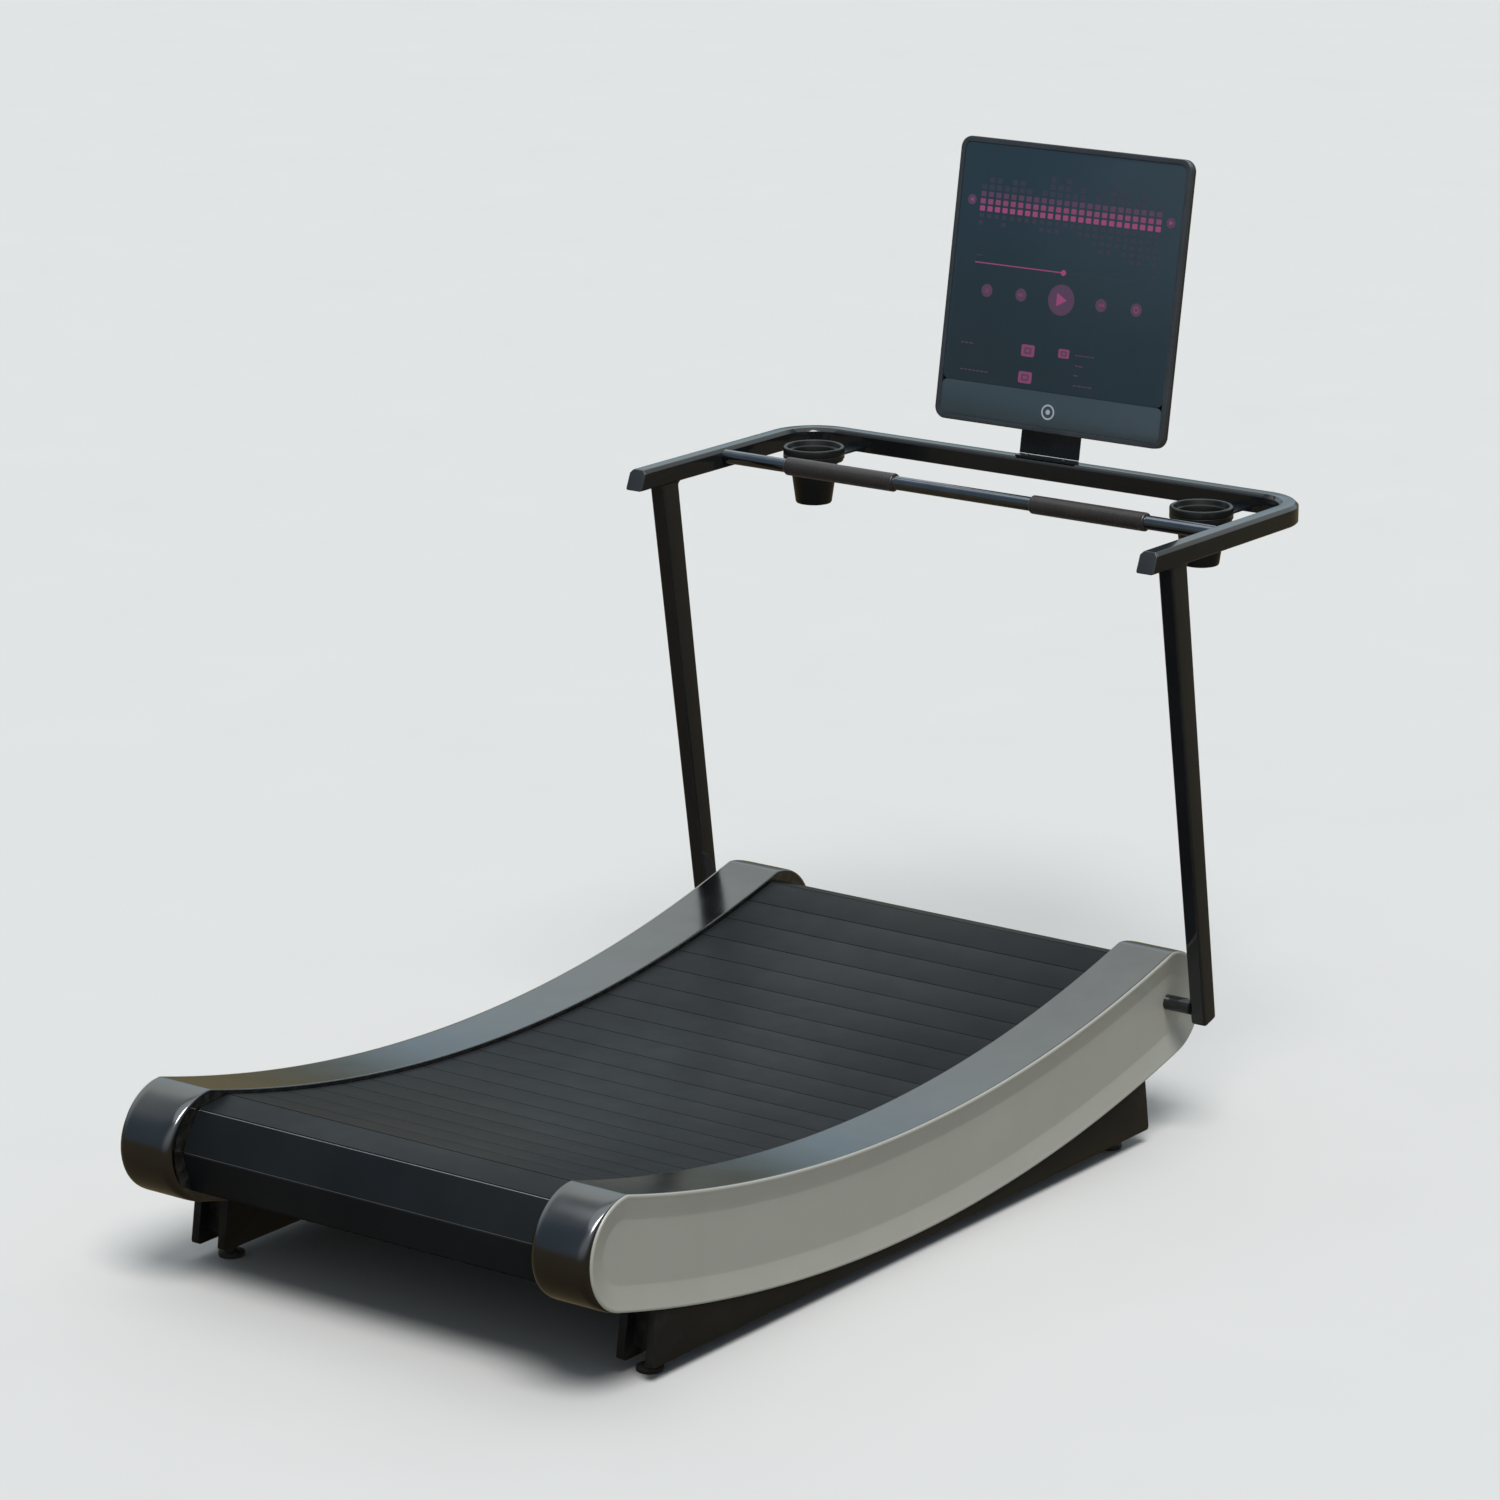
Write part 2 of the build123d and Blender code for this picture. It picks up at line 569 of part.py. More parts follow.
add("display_panel", CP * slab(CON_W - 40, CON_H - 30 - glass_y, 3.0, glass_y + 6, -8.6, -4.5))
back = slab(CON_W, CON_H, 21, 0, -CON_T, -9.0) - slab(CON_W - 24, CON_H - 24, 12, 12, -CON_T + 2.5, -8.0)
back += slab(320, 250, 18, 165, -25.5, -CON_T + 0.0)
back -= slab(310, 240, 14, 170, -23.0, -CON_T + 3.0)
add("console_back", CP * back)
add("control_board", CP * slab(200, 120, 3, 230, -21.0, -19.0))
vert = extrude(Pos(0, 44.5, -CON_T - 4.0) * Rectangle(122.0, 171.0), 4.0)
vert = CP * vert
foot_y1 = CON_Y + CON_T * cos(CON_LEAN) - (CON_Z - CON_T * sin(CON_LEAN) - RAIL_Z1) * tan(CON_LEAN)
vert -= bx(-200, 200, 900, 1200, 900, RAIL_Z1)
footp = bx(-61, 61, RAIL_FRONT - 30.0, foot_y1 + 4.0, RAIL_Z1, RAIL_Z1 + 4.0)
add("console_bracket", vert + footp)
scr = []
for sx in (-38, 38):
    for sy in (60, 110):
        scr.append(CP * (Pos(sx, sy, -CON_T - 6.5) * Cylinder(4.5, 2.5, align=(Align.CENTER, Align.CENTER, Align.MIN))))
    scr.append(Pos(sx, (RAIL_FRONT - 30.0 + foot_y1) / 2 - 3.0, RAIL_Z1 + 4.0) * Cylinder(4.0, 2.5, align=(Align.CENTER, Align.CENTER, Align.MIN)))
add("console_screws", group(scr))

# ---------------------------------------------------------------- write
os.makedirs("parts", exist_ok=True)
lo = [1e9] * 3
hi = [-1e9] * 3
for name, shp in parts.items():
    solids = shp if isinstance(shp, list) else list(shp.solids())
    solids = [q.moved(Location((0, SHIFT_Y, 0))) for q in solids]
    s = solids[0] if len(solids) == 1 else Compound(solids)
    bb = s.bounding_box()
    for i, (a, b) in enumerate(zip((bb.min.X, bb.min.Y, bb.min.Z), (bb.max.X, bb.max.Y, bb.max.Z))):
        lo[i] = min(lo[i], a)
        hi[i] = max(hi[i], b)
    export_step(s, "parts/" + name + ".step")
print("ratios", -WRAP_STEP / (PITCH / R_HINGE), -stp / (PITCH / R_HINGE), "half pitch deg", degrees(PITCH / R_HINGE / 2))
print("nodes", len(parts))
print("bbox", [round(v, 3) for v in lo], [round(v, 3) for v in hi], "mid y", round((lo[1] + hi[1]) / 2, 3))
print("R_WRAP", R_WRAP, "R_RET", R_RET, "RET_C", RET_C, "n_ret", n_ret, "total", N_TOP + 8 + n_ret)
print("ret lowest", min(p[1] for p in ret_pts), "A", A, "B", B)
print("front_pts", [(round(a, 1), round(b, 1)) for a, b in front_pts])
print("rear_pts", [(round(a, 1), round(b, 1)) for a, b in rear_pts])
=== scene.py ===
import json
import math
import random
from math import sin, cos, pi, radians, sqrt, atan2, hypot, asin

import bmesh
import bpy
from mathutils import Matrix, Vector


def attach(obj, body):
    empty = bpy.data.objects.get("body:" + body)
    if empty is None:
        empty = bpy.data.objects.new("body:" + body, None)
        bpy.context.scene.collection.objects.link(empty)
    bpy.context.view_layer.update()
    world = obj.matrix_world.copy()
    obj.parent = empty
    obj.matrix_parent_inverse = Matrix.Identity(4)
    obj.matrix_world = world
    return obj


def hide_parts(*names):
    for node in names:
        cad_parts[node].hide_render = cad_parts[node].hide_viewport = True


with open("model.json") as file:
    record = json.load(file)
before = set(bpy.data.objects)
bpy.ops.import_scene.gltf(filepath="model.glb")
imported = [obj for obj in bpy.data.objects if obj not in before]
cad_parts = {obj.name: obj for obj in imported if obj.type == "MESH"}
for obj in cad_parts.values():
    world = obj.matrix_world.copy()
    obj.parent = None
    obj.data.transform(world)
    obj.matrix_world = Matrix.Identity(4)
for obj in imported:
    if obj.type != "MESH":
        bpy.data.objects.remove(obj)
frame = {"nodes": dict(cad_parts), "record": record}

random.seed(11)
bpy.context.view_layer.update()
NODES = frame["nodes"]
BODY_OF = {n: b for b, ns in frame["record"]["behaviour"]["bodies"].items() for n in ns}
SLOT_OF = {s["node"]: s["material_slot"] for s in frame["record"]["subparts"]}
SY = -144.45                     # deck middle in the row frame, mm
Z_TOP = 3041.1                   # height of the centre of the running arc, mm


def P(x, y, z):
    """deck millimetres to row-frame metres"""
    return (x * 0.001, (y + SY) * 0.001, z * 0.001)


# =============================================================== materials
def N(nt, kind, **kw):
    n = nt.nodes.new(kind)
    for k, v in kw.items():
        setattr(n, k, v)
    return n


def surf(name, dark, light, metallic=0.0, rough=0.4, rvar=0.08, fine=900.0, coarse=6.0, bump=0.05, bdist=0.0002,
         stretch=(1, 1, 1), coat=0.0, coat_rough=0.1, spec=0.5, wear=None, wear_amt=0.0, aniso=0.0, dust=0.0,
         sheen=0.0, second=0.0):
    """base surface: two-tone cloudy colour, roughness breakup, fine bump, light edge wear"""
    m = bpy.data.materials.new(name)
    m.use_nodes = True
    nt = m.node_tree
    bs = nt.nodes["Principled BSDF"]
    L = nt.links.new
    tc = N(nt, "ShaderNodeTexCoord")
    mp = N(nt, "ShaderNodeMapping")
    mp.inputs["Scale"].default_value = stretch
    L(tc.outputs["Object"], mp.inputs["Vector"])
    # cloudy colour
    n1 = N(nt, "ShaderNodeTexNoise")
    n1.inputs["Scale"].default_value = coarse
    n1.inputs["Detail"].default_value = 5
    n1.inputs["Roughness"].default_value = 0.62
    L(tc.outputs["Object"], n1.inputs["Vector"])
    r1 = N(nt, "ShaderNodeMapRange")
    r1.inputs["From Min"].default_value = 0.3
    r1.inputs["From Max"].default_value = 0.7
    L(n1.outputs["Fac"], r1.inputs["Value"])
    mx = N(nt, "ShaderNodeMix", data_type="RGBA")
    mx.inputs["A"].default_value = (*dark, 1)
    mx.inputs["B"].default_value = (*light, 1)
    L(r1.outputs["Result"], mx.inputs["Factor"])
    col = mx.outputs["Result"]
    # fine grain
    n2 = N(nt, "ShaderNodeTexNoise")
    n2.inputs["Scale"].default_value = fine
    n2.inputs["Detail"].default_value = 3
    L(mp.outputs["Vector"], n2.inputs["Vector"])
    if second:
        sp = N(nt, "ShaderNodeMix", data_type="RGBA", blend_type="OVERLAY")
        sp.inputs["Factor"].default_value = second
        L(col, sp.inputs["A"])
        L(n2.outputs["Fac"], sp.inputs["B"])
        col = sp.outputs["Result"]
    if wear_amt > 0:
        geo = N(nt, "ShaderNodeNewGeometry")
        wr = N(nt, "ShaderNodeMapRange")
        wr.inputs["From Min"].default_value = 0.53
        wr.inputs["From Max"].default_value = 0.62
        L(geo.outputs["Pointiness"], wr.inputs["Value"])
        n3 = N(nt, "ShaderNodeTexNoise")
        n3.inputs["Scale"].default_value = 45
        n3.inputs["Detail"].default_value = 6
        L(tc.outputs["Object"], n3.inputs["Vector"])
        r3 = N(nt, "ShaderNodeMapRange")
        r3.inputs["From Min"].default_value = 0.45
        r3.inputs["From Max"].default_value = 0.7
        r3.inputs["To Max"].default_value = wear_amt
        L(n3.outputs["Fac"], r3.inputs["Value"])
        mu = N(nt, "ShaderNodeMath", operation="MULTIPLY")
        L(wr.outputs["Result"], mu.inputs[0])
        L(r3.outputs["Result"], mu.inputs[1])
        mw = N(nt, "ShaderNodeMix", data_type="RGBA")
        L(mu.outputs[0], mw.inputs["Factor"])
        L(col, mw.inputs["A"])
        mw.inputs["B"].default_value = (*(wear or light), 1)
        col = mw.outputs["Result"]
    if dust > 0:
        # a breath of dust on what faces up
        geo2 = N(nt, "ShaderNodeNewGeometry")
        sx = N(nt, "ShaderNodeSeparateXYZ")
        L(geo2.outputs["Normal"], sx.inputs[0])
        du = N(nt, "ShaderNodeMapRange")
        du.inputs["From Min"].default_value = 0.5
        du.inputs["To Max"].default_value = dust
        L(sx.outputs["Z"], du.inputs["Value"])
        mm = N(nt, "ShaderNodeMath", operation="MULTIPLY")
        L(du.outputs["Result"], mm.inputs[0])
        L(n1.outputs["Fac"], mm.inputs[1])
        md = N(nt, "ShaderNodeMix", data_type="RGBA")
        L(mm.outputs[0], md.inputs["Factor"])
        L(col, md.inputs["A"])
        md.inputs["B"].default_value = (0.30, 0.29, 0.27, 1)
        col = md.outputs["Result"]
    L(col, bs.inputs["Base Color"])
    bs.inputs["Metallic"].default_value = metallic
    # roughness breakup: cloudy plus fine
    ad = N(nt, "ShaderNodeMath", operation="ADD")
    r2 = N(nt, "ShaderNodeMapRange")
    r2.inputs["From Min"].default_value = 0.25
    r2.inputs["From Max"].default_value = 0.75
    r2.inputs["To Min"].default_value = rough - rvar * 0.6
    r2.inputs["To Max"].default_value = rough + rvar * 0.6
    n4 = N(nt, "ShaderNodeTexNoise")
    n4.inputs["Scale"].default_value = 22
    n4.inputs["Detail"].default_value = 7
    L(tc.outputs["Object"], n4.inputs["Vector"])
    L(n4.outputs["Fac"], r2.inputs["Value"])
    r5 = N(nt, "ShaderNodeMapRange")
    r5.inputs["To Min"].default_value = -rvar * 0.4
    r5.inputs["To Max"].default_value = rvar * 0.4
    L(n2.outputs["Fac"], r5.inputs["Value"])
    L(r2.outputs["Result"], ad.inputs[0])
    L(r5.outputs["Result"], ad.inputs[1])
    ad.use_clamp = True
    L(ad.outputs[0], bs.inputs["Roughness"])
    bp = N(nt, "ShaderNodeBump")
    bp.inputs["Strength"].default_value = bump
    bp.inputs["Distance"].default_value = bdist
    L(n2.outputs["Fac"], bp.inputs["Height"])
    L(bp.outputs["Normal"], bs.inputs["Normal"])
    bs.inputs["Coat Weight"].default_value = coat
    bs.inputs["Coat Roughness"].default_value = coat_rough
    bs.inputs["Specular IOR Level"].default_value = spec
    if aniso:
        bs.inputs["Anisotropic"].default_value = aniso
    if sheen:
        bs.inputs["Sheen Weight"].default_value = sheen
    return m


def glow(name, col, strength, pixel=900.0):
    """lit display element: emission broken up by a fine pixel grid"""
    m = bpy.data.materials.new(name)
    m.use_nodes = True
    nt = m.node_tree
    bs = nt.nodes["Principled BSDF"]
    L = nt.links.new
    tc = N(nt, "ShaderNodeTexCoord")
    w1 = N(nt, "ShaderNodeTexWave", wave_type="BANDS", bands_direction="X")
    w1.inputs["Scale"].default_value = pixel
    w2 = N(nt, "ShaderNodeTexWave", wave_type="BANDS", bands_direction="Z")
    w2.inputs["Scale"].default_value = pixel
    L(tc.outputs["Object"], w1.inputs["Vector"])
    L(tc.outputs["Object"], w2.inputs["Vector"])
    mu = N(nt, "ShaderNodeMath", operation="MULTIPLY")
    L(w1.outputs["Fac"], mu.inputs[0])
    L(w2.outputs["Fac"], mu.inputs[1])
    mr = N(nt, "ShaderNodeMapRange")
    mr.inputs["To Min"].default_value = 0.75
    mr.inputs["To Max"].default_value = 1.15
    L(mu.outputs[0], mr.inputs["Value"])
    vm = N(nt, "ShaderNodeVectorMath", operation="SCALE")
    vm.inputs[0].default_value = col
    L(mr.outputs["Result"], vm.inputs["Scale"])
    L(vm.outputs["Vector"], bs.inputs["Emission Color"])
    L(vm.outputs["Vector"], bs.inputs["Base Color"])
    bs.inputs["Emission Strength"].default_value = strength
    n4 = N(nt, "ShaderNodeTexNoise")
    n4.inputs["Scale"].default_value = 60
    L(tc.outputs["Object"], n4.inputs["Vector"])
    r2 = N(nt, "ShaderNodeMapRange")
    r2.inputs["To Min"].default_value = 0.12
    r2.inputs["To Max"].default_value = 0.3
    L(n4.outputs["Fac"], r2.inputs["Value"])
    L(r2.outputs["Result"], bs.inputs["Roughness"])
    return m


MAT = {
    "cap_chrome": surf("cap_metal", (0.145, 0.148, 0.152), (0.170, 0.172, 0.174), metallic=1.0, rough=0.17, rvar=0.05,
                       fine=1400, coarse=7, bump=0.02, bdist=0.00006, stretch=(1, 0.12, 0.12), wear=(0.5, 0.5, 0.5), wear_amt=0.4),
    "panel_silver": surf("panel_paint", (0.305, 0.306, 0.272), (0.328, 0.329, 0.295), metallic=0.15, rough=0.40, rvar=0.08,
                         fine=2600, coarse=5, bump=0.06, bdist=0.00006, coat=0.25, coat_rough=0.22, wear=(0.5, 0.5, 0.48), wear_amt=0.35, second=0.04),
    "frame_black": surf("frame_paint", (0.0055, 0.0050, 0.0038), (0.0085, 0.0076, 0.0058), rough=0.11, rvar=0.05, fine=1500, bump=0.07,
                        bdist=0.0001, wear=(0.05, 0.05, 0.05), wear_amt=0.45, spec=0.6, coat=1.0, coat_rough=0.04),
    "base_black": surf("base_paint", (0.006, 0.006, 0.006), (0.010, 0.010, 0.0095), rough=0.34, rvar=0.10, fine=1700, bump=0.10,
                       bdist=0.0001, wear=(0.08, 0.08, 0.08), wear_amt=0.4, dust=0.05, spec=0.3),
    "rail_black": surf("rail_paint", (0.006, 0.0065, 0.007), (0.009, 0.010, 0.011), rough=0.12, rvar=0.05, fine=1900, bump=0.03,
                       bdist=0.00008, wear=(0.07, 0.075, 0.08), wear_amt=0.35, dust=0.02, spec=0.42, coat=0.4, coat_rough=0.05),
    "rod_steel": surf("rod_metal", (0.34, 0.34, 0.35), (0.46, 0.46, 0.47), metallic=1.0, rough=0.34, fine=1800, stretch=(0.05, 1, 1), bump=0.1),
    "drum_aluminium": surf("drum_metal", (0.45, 0.45, 0.46), (0.58, 0.58, 0.59), metallic=1.0, rough=0.38, rvar=0.12, fine=1500,
                           stretch=(1, 0.06, 0.06), bump=0.15),
    "shaft_steel": surf("shaft_metal", (0.42, 0.42, 0.43), (0.52, 0.52, 0.53), metallic=1.0, rough=0.28, fine=1700, stretch=(1, 0.06, 0.06), bump=0.08),
    "bearing_iron": surf("bearing_metal", (0.09, 0.09, 0.095), (0.15, 0.15, 0.155), metallic=0.8, rough=0.55, fine=500, bump=0.35),
    "track_plastic": surf("track_plastic_mat", (0.02, 0.02, 0.022), (0.035, 0.035, 0.037), rough=0.45, fine=800, stretch=(1, 0.1, 1), bump=0.12),
    "foot_rubber": surf("foot_rubber_mat", (0.010, 0.010, 0.010), (0.022, 0.022, 0.022), rough=0.62, rvar=0.14, fine=900, bump=0.3,
                        spec=0.4, dust=0.25),
    "fastener_steel": surf("fastener_metal", (0.20, 0.20, 0.205), (0.32, 0.32, 0.325), metallic=1.0, rough=0.36, fine=900, bump=0.15, coarse=40),
    "arm_cap_grey": surf("arm_cap_paint", (0.014, 0.0165, 0.0195), (0.021, 0.024, 0.028), rough=0.34, rvar=0.10, fine=2200, bump=0.08,
                         bdist=0.00006, coat=0.2, wear=(0.2, 0.22, 0.25), wear_amt=0.4, coarse=30),
    "crossbar_steel": surf("crossbar_metal", (0.19, 0.21, 0.24), (0.25, 0.27, 0.30), metallic=1.0, rough=0.13, rvar=0.08, fine=1600,
                           stretch=(0.05, 1, 1), bump=0.03, bdist=0.00006, coarse=20),
    "cup_black": surf("cup_plastic", (0.0040, 0.0042, 0.0040), (0.0070, 0.0074, 0.0072), rough=0.30, rvar=0.12, fine=1800, bump=0.14,
                      bdist=0.0001, spec=0.4, wear=(0.07, 0.07, 0.075), wear_amt=0.3),
    "bracket_black": surf("bracket_paint", (0.0035, 0.0062, 0.0095), (0.0058, 0.0095, 0.0140), rough=0.26, rvar=0.12, fine=1700, bump=0.10,
                          bdist=0.0001, coat=0.2, wear=(0.05, 0.05, 0.055), wear_amt=0.0),
    "console_metal": surf("console_bezel_metal", (0.042, 0.050, 0.058), (0.060, 0.070, 0.080), metallic=0.45, rough=0.28, rvar=0.08,
                          fine=2600, bump=0.06, bdist=0.00005, coarse=14, wear=(0.3, 0.3, 0.3), wear_amt=0.4),
    "console_shell": surf("console_shell_plastic", (0.014, 0.015, 0.017), (0.022, 0.023, 0.026), rough=0.48, rvar=0.1, fine=2400,
                          bump=0.25, bdist=0.0001),
    "screen_glass": surf("screen_glass_mat", (0.0150, 0.031, 0.044), (0.0195, 0.038, 0.053), rough=0.10, rvar=0.05, fine=3000, coarse=3,
                         bump=0.01, bdist=0.00002, coat=0.5, coat_rough=0.04, spec=0.5),
    "strip_glass": surf("strip_glass_mat", (0.030, 0.047, 0.058), (0.036, 0.055, 0.067), rough=0.18, rvar=0.06, fine=3000, coarse=4,
                        bump=0.015, bdist=0.00002, coat=0.4, coat_rough=0.08, spec=0.5),
    "display_black": surf("display_panel_mat", (0.006, 0.007, 0.009), (0.010, 0.011, 0.014), rough=0.2, fine=2000, bump=0.03),
    "board_green": surf("board_mat", (0.008, 0.06, 0.025), (0.015, 0.09, 0.04), rough=0.45, fine=300, coarse=60, bump=0.2),
}


def belt_material(name="slat_rubber", painted_groove_shade=False):
    """slat rubber: cloudy slate, lengthwise moulding grain, a polished track where feet land, optionally painted shade
    on the slat edges and slots
    """
    m = surf(name, (0.0052, 0.0065, 0.0080), (0.0104, 0.0124, 0.0146), rough=0.45, rvar=0.06, fine=1500, coarse=2.2,
             bump=0.18, bdist=0.00016, stretch=(0.35, 1, 1), spec=0.10, dust=0.012, second=0.05)
    nt = m.node_tree
    L = nt.links.new
    bs = nt.nodes["Principled BSDF"]
    tc = N(nt, "ShaderNodeTexCoord")
    sx = N(nt, "ShaderNodeSeparateXYZ")
    L(tc.outputs["Object"], sx.inputs[0])
    ab = N(nt, "ShaderNodeMath", operation="ABSOLUTE")
    L(sx.outputs["X"], ab.inputs[0])
    mr = N(nt, "ShaderNodeMapRange", interpolation_type="SMOOTHSTEP")
    mr.inputs["From Min"].default_value = 0.05
    mr.inputs["From Max"].default_value = 0.30
    mr.inputs["To Min"].default_value = -0.05
    mr.inputs["To Max"].default_value = 0.03
    L(ab.outputs[0], mr.inputs["Value"])
    ad = N(nt, "ShaderNodeMath", operation="ADD")
    old = bs.inputs["Roughness"].links[0].from_socket
    L(old, ad.inputs[0])
    L(mr.outputs["Result"], ad.inputs[1])
    L(ad.outputs[0], bs.inputs["Roughness"])
    if painted_groove_shade:
        # painted shade: base colour is darkened on the slat edges and in the slots between slats, on faces turned away
        # from the centre of the running arc
        geo = N(nt, "ShaderNodeNewGeometry")
        sb = N(nt, "ShaderNodeVectorMath", operation="SUBTRACT")
        sb.inputs[0].default_value = (0.0, SY * 0.001, Z_TOP * 0.001)
        L(geo.outputs["Position"], sb.inputs[1])
        fl = N(nt, "ShaderNodeVectorMath", operation="MULTIPLY")
        L(sb.outputs["Vector"], fl.inputs[0])
        fl.inputs[1].default_value = (0.0, 1.0, 1.0)
        nz = N(nt, "ShaderNodeVectorMath", operation="NORMALIZE")
        L(fl.outputs["Vector"], nz.inputs[0])
        dt = N(nt, "ShaderNodeVectorMath", operation="DOT_PRODUCT")
        L(nz.outputs["Vector"], dt.inputs[0])
        L(geo.outputs["True Normal"], dt.inputs[1])
        mg = N(nt, "ShaderNodeMapRange", interpolation_type="SMOOTHSTEP")
        mg.inputs["From Min"].default_value = 0.955
        mg.inputs["From Max"].default_value = 0.995
        mg.inputs["To Min"].default_value = 0.22
        mg.inputs["To Max"].default_value = 1.0
        L(dt.outputs["Value"], mg.inputs["Value"])
        sc = N(nt, "ShaderNodeVectorMath", operation="SCALE")
        L(bs.inputs["Base Color"].links[0].from_socket, sc.inputs[0])
        L(mg.outputs["Result"], sc.inputs["Scale"])
        L(sc.outputs["Vector"], bs.inputs["Base Color"])
        gr = N(nt, "ShaderNodeMapRange")
        gr.inputs["From Min"].default_value = 0.22
        gr.inputs["To Min"].default_value = 0.55
        gr.inputs["To Max"].default_value = 0.0
        L(mg.outputs["Result"], gr.inputs["Value"])
        a2 = N(nt, "ShaderNodeMath", operation="ADD", use_clamp=True)
        L(bs.inputs["Roughness"].links[0].from_socket, a2.inputs[0])
        L(gr.outputs["Result"], a2.inputs[1])
        L(a2.outputs[0], bs.inputs["Roughness"])
    return m


def grip_material():
    """grip rubber: fine cross-hatched grain, brownish black"""
    m = surf("grip_rubber_mat", (0.013, 0.010, 0.0098), (0.022, 0.0175, 0.0165), rough=0.33, rvar=0.1, fine=1200, coarse=30,
             bump=0.12, bdist=0.0001, spec=0.5, sheen=0.1)
    nt = m.node_tree
    L = nt.links.new
    bs = nt.nodes["Principled BSDF"]
    tc = N(nt, "ShaderNodeTexCoord")
    hs = []
    for d in ("X", "DIAGONAL"):
        w = N(nt, "ShaderNodeTexWave", wave_type="BANDS", bands_direction=d)
        w.inputs["Scale"].default_value = 190
        w.inputs["Distortion"].default_value = 0.2
        L(tc.outputs["Object"], w.inputs["Vector"])
        hs.append(w)
    mu = N(nt, "ShaderNodeMath", operation="MULTIPLY")
    L(hs[0].outputs["Fac"], mu.inputs[0])
    L(hs[1].outputs["Fac"], mu.inputs[1])
    bp = N(nt, "ShaderNodeBump")
    bp.inputs["Strength"].default_value = 0.25
    bp.inputs["Distance"].default_value = 0.0002
    L(mu.outputs[0], bp.inputs["Height"])
    L(bs.inputs["Normal"].links[0].from_socket, bp.inputs["Normal"])
    L(bp.outputs["Normal"], bs.inputs["Normal"])
    return m


MAT["belt_slate"] = belt_material()
# the top run of slats carries painted shade on its slat edges and slots
TOP_SLAT = belt_material("slat_rubber_top", True)
MAT["grip_rubber"] = grip_material()
UI_HI = glow("ui_bright", (0.27, 0.056, 0.150), 0.24)
UI_MID = glow("ui_mid", (0.200, 0.052, 0.125), 0.24)
UI_LOW = glow("ui_low", (0.082, 0.044, 0.085), 0.25)
UI_FAINT = glow("ui_faint", (0.035, 0.039, 0.060), 0.19)
MARK = surf("mark_print", (0.30, 0.34, 0.38), (0.38, 0.42, 0.46), rough=0.35, fine=1500, bump=0.05)


# =============================================================== mesh helpers
def finish_mesh(me, angle=30.0):
    for name in ("custom_normal", "sharp_face", "sharp_edge"):
        at = me.attributes.get(name)
        if at is not None:
            me.attributes.remove(at)
    for p in me.polygons:
        p.use_smooth = True
    me.set_sharp_from_angle(angle=radians(angle))
    me.update()


def place(name, me, mat, body="frame", repl=()):
    ob = bpy.data.objects.new(name, me)
    bpy.context.scene.collection.objects.link(ob)
    me.materials.clear()
    me.materials.append(mat)
    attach(ob, body)
    if repl:
        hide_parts(*repl)
    return ob


def from_lists(name, verts, faces, mat, body="frame", repl=(), angle=30.0, bevel=0.0, bang=25.0, seg=2):
    me = bpy.data.meshes.new(name)
    me.from_pydata(verts, [], faces)
    bm = bmesh.new()
    bm.from_mesh(me)
    bmesh.ops.remove_doubles(bm, verts=bm.verts, dist=1e-7)
    bmesh.ops.recalc_face_normals(bm, faces=bm.faces)
    if bevel:
        es = [e for e in bm.edges if len(e.link_faces) == 2 and e.calc_face_angle() > radians(bang)]
        bmesh.ops.bevel(bm, geom=es, offset=bevel, offset_type="OFFSET", segments=seg, profile=0.6, affect="EDGES", clamp_overlap=True)
    bm.to_mesh(me)
    bm.free()
    finish_mesh(me, angle)
    return place(name, me, mat, body, repl)


def refine(node, width=0.0008, seg=2, ang=30.0, mat=None, diss=0.4, angle=35.0):
    """a bevelled copy of a CAD node that stands for it"""
    src = NODES[node].data
    bm = bmesh.new()
    bm.from_mesh(src)
    bmesh.ops.remove_doubles(bm, verts=bm.verts, dist=2e-6)
    if diss:
        bmesh.ops.dissolve_limit(bm, angle_limit=radians(diss), verts=bm.verts, edges=bm.edges)
    es = [e for e in bm.edges if len(e.link_faces) == 2 and e.calc_face_angle() > radians(ang)]
    if width and es:
        bmesh.ops.bevel(bm, geom=es, offset=width, offset_type="OFFSET", segments=seg, profile=0.6, affect="EDGES", clamp_overlap=True)
    me = bpy.data.meshes.new(node + "_skin")
    bm.to_mesh(me)
    bm.free()
    finish_mesh(me, angle)
    slot = SLOT_OF[node]
    return place(node + "_skin", me, mat or MAT[slot], BODY_OF[node], (node,))


def lathe(name, prof, centre, axis, mat, body="frame", repl=(), seg=96, bevel=0.0, closed=True, bang=25.0, angle=30.0):
    """turn the (radius, height) profile about an axis through centre (row-frame metres; profile in mm)"""
    vs, fs, rings = [], [], []
    for r, h in prof:
        if r < 1e-6:
            rings.append([len(vs)])
            vs.append((0.0, 0.0, h))
        else:
            ring = []
            for i in range(seg):
                a = 2 * pi * i / seg
                ring.append(len(vs))
                vs.append((r * cos(a), r * sin(a), h))
            rings.append(ring)
    idx = list(range(len(prof)))
    pairs = list(zip(idx[:-1], idx[1:]))
    if closed and prof[0][0] > 1e-6 and prof[-1][0] > 1e-6:
        pairs.append((idx[-1], idx[0]))
    for a, b in pairs:
        A, B = rings[a], rings[b]
        for i in range(seg):
            j = (i + 1) % seg
            if len(A) == 1 and len(B) == 1:
                break
            if len(A) == 1:
                fs.append((A[0], B[i], B[j]))
            elif len(B) == 1:
                fs.append((A[i], A[j], B[0]))
            else:
                fs.append((A[i], A[j], B[j], B[i]))
    out = []
    for x, y, z in vs:
        if axis == "X":
            q = (z, x, y)
        else:
            q = (x, y, z)
        out.append((centre[0] + q[0] * 0.001, centre[1] + q[1] * 0.001, centre[2] + q[2] * 0.001))
    return from_lists(name, out, fs, mat, body, repl, angle=angle, bevel=bevel, bang=bang)


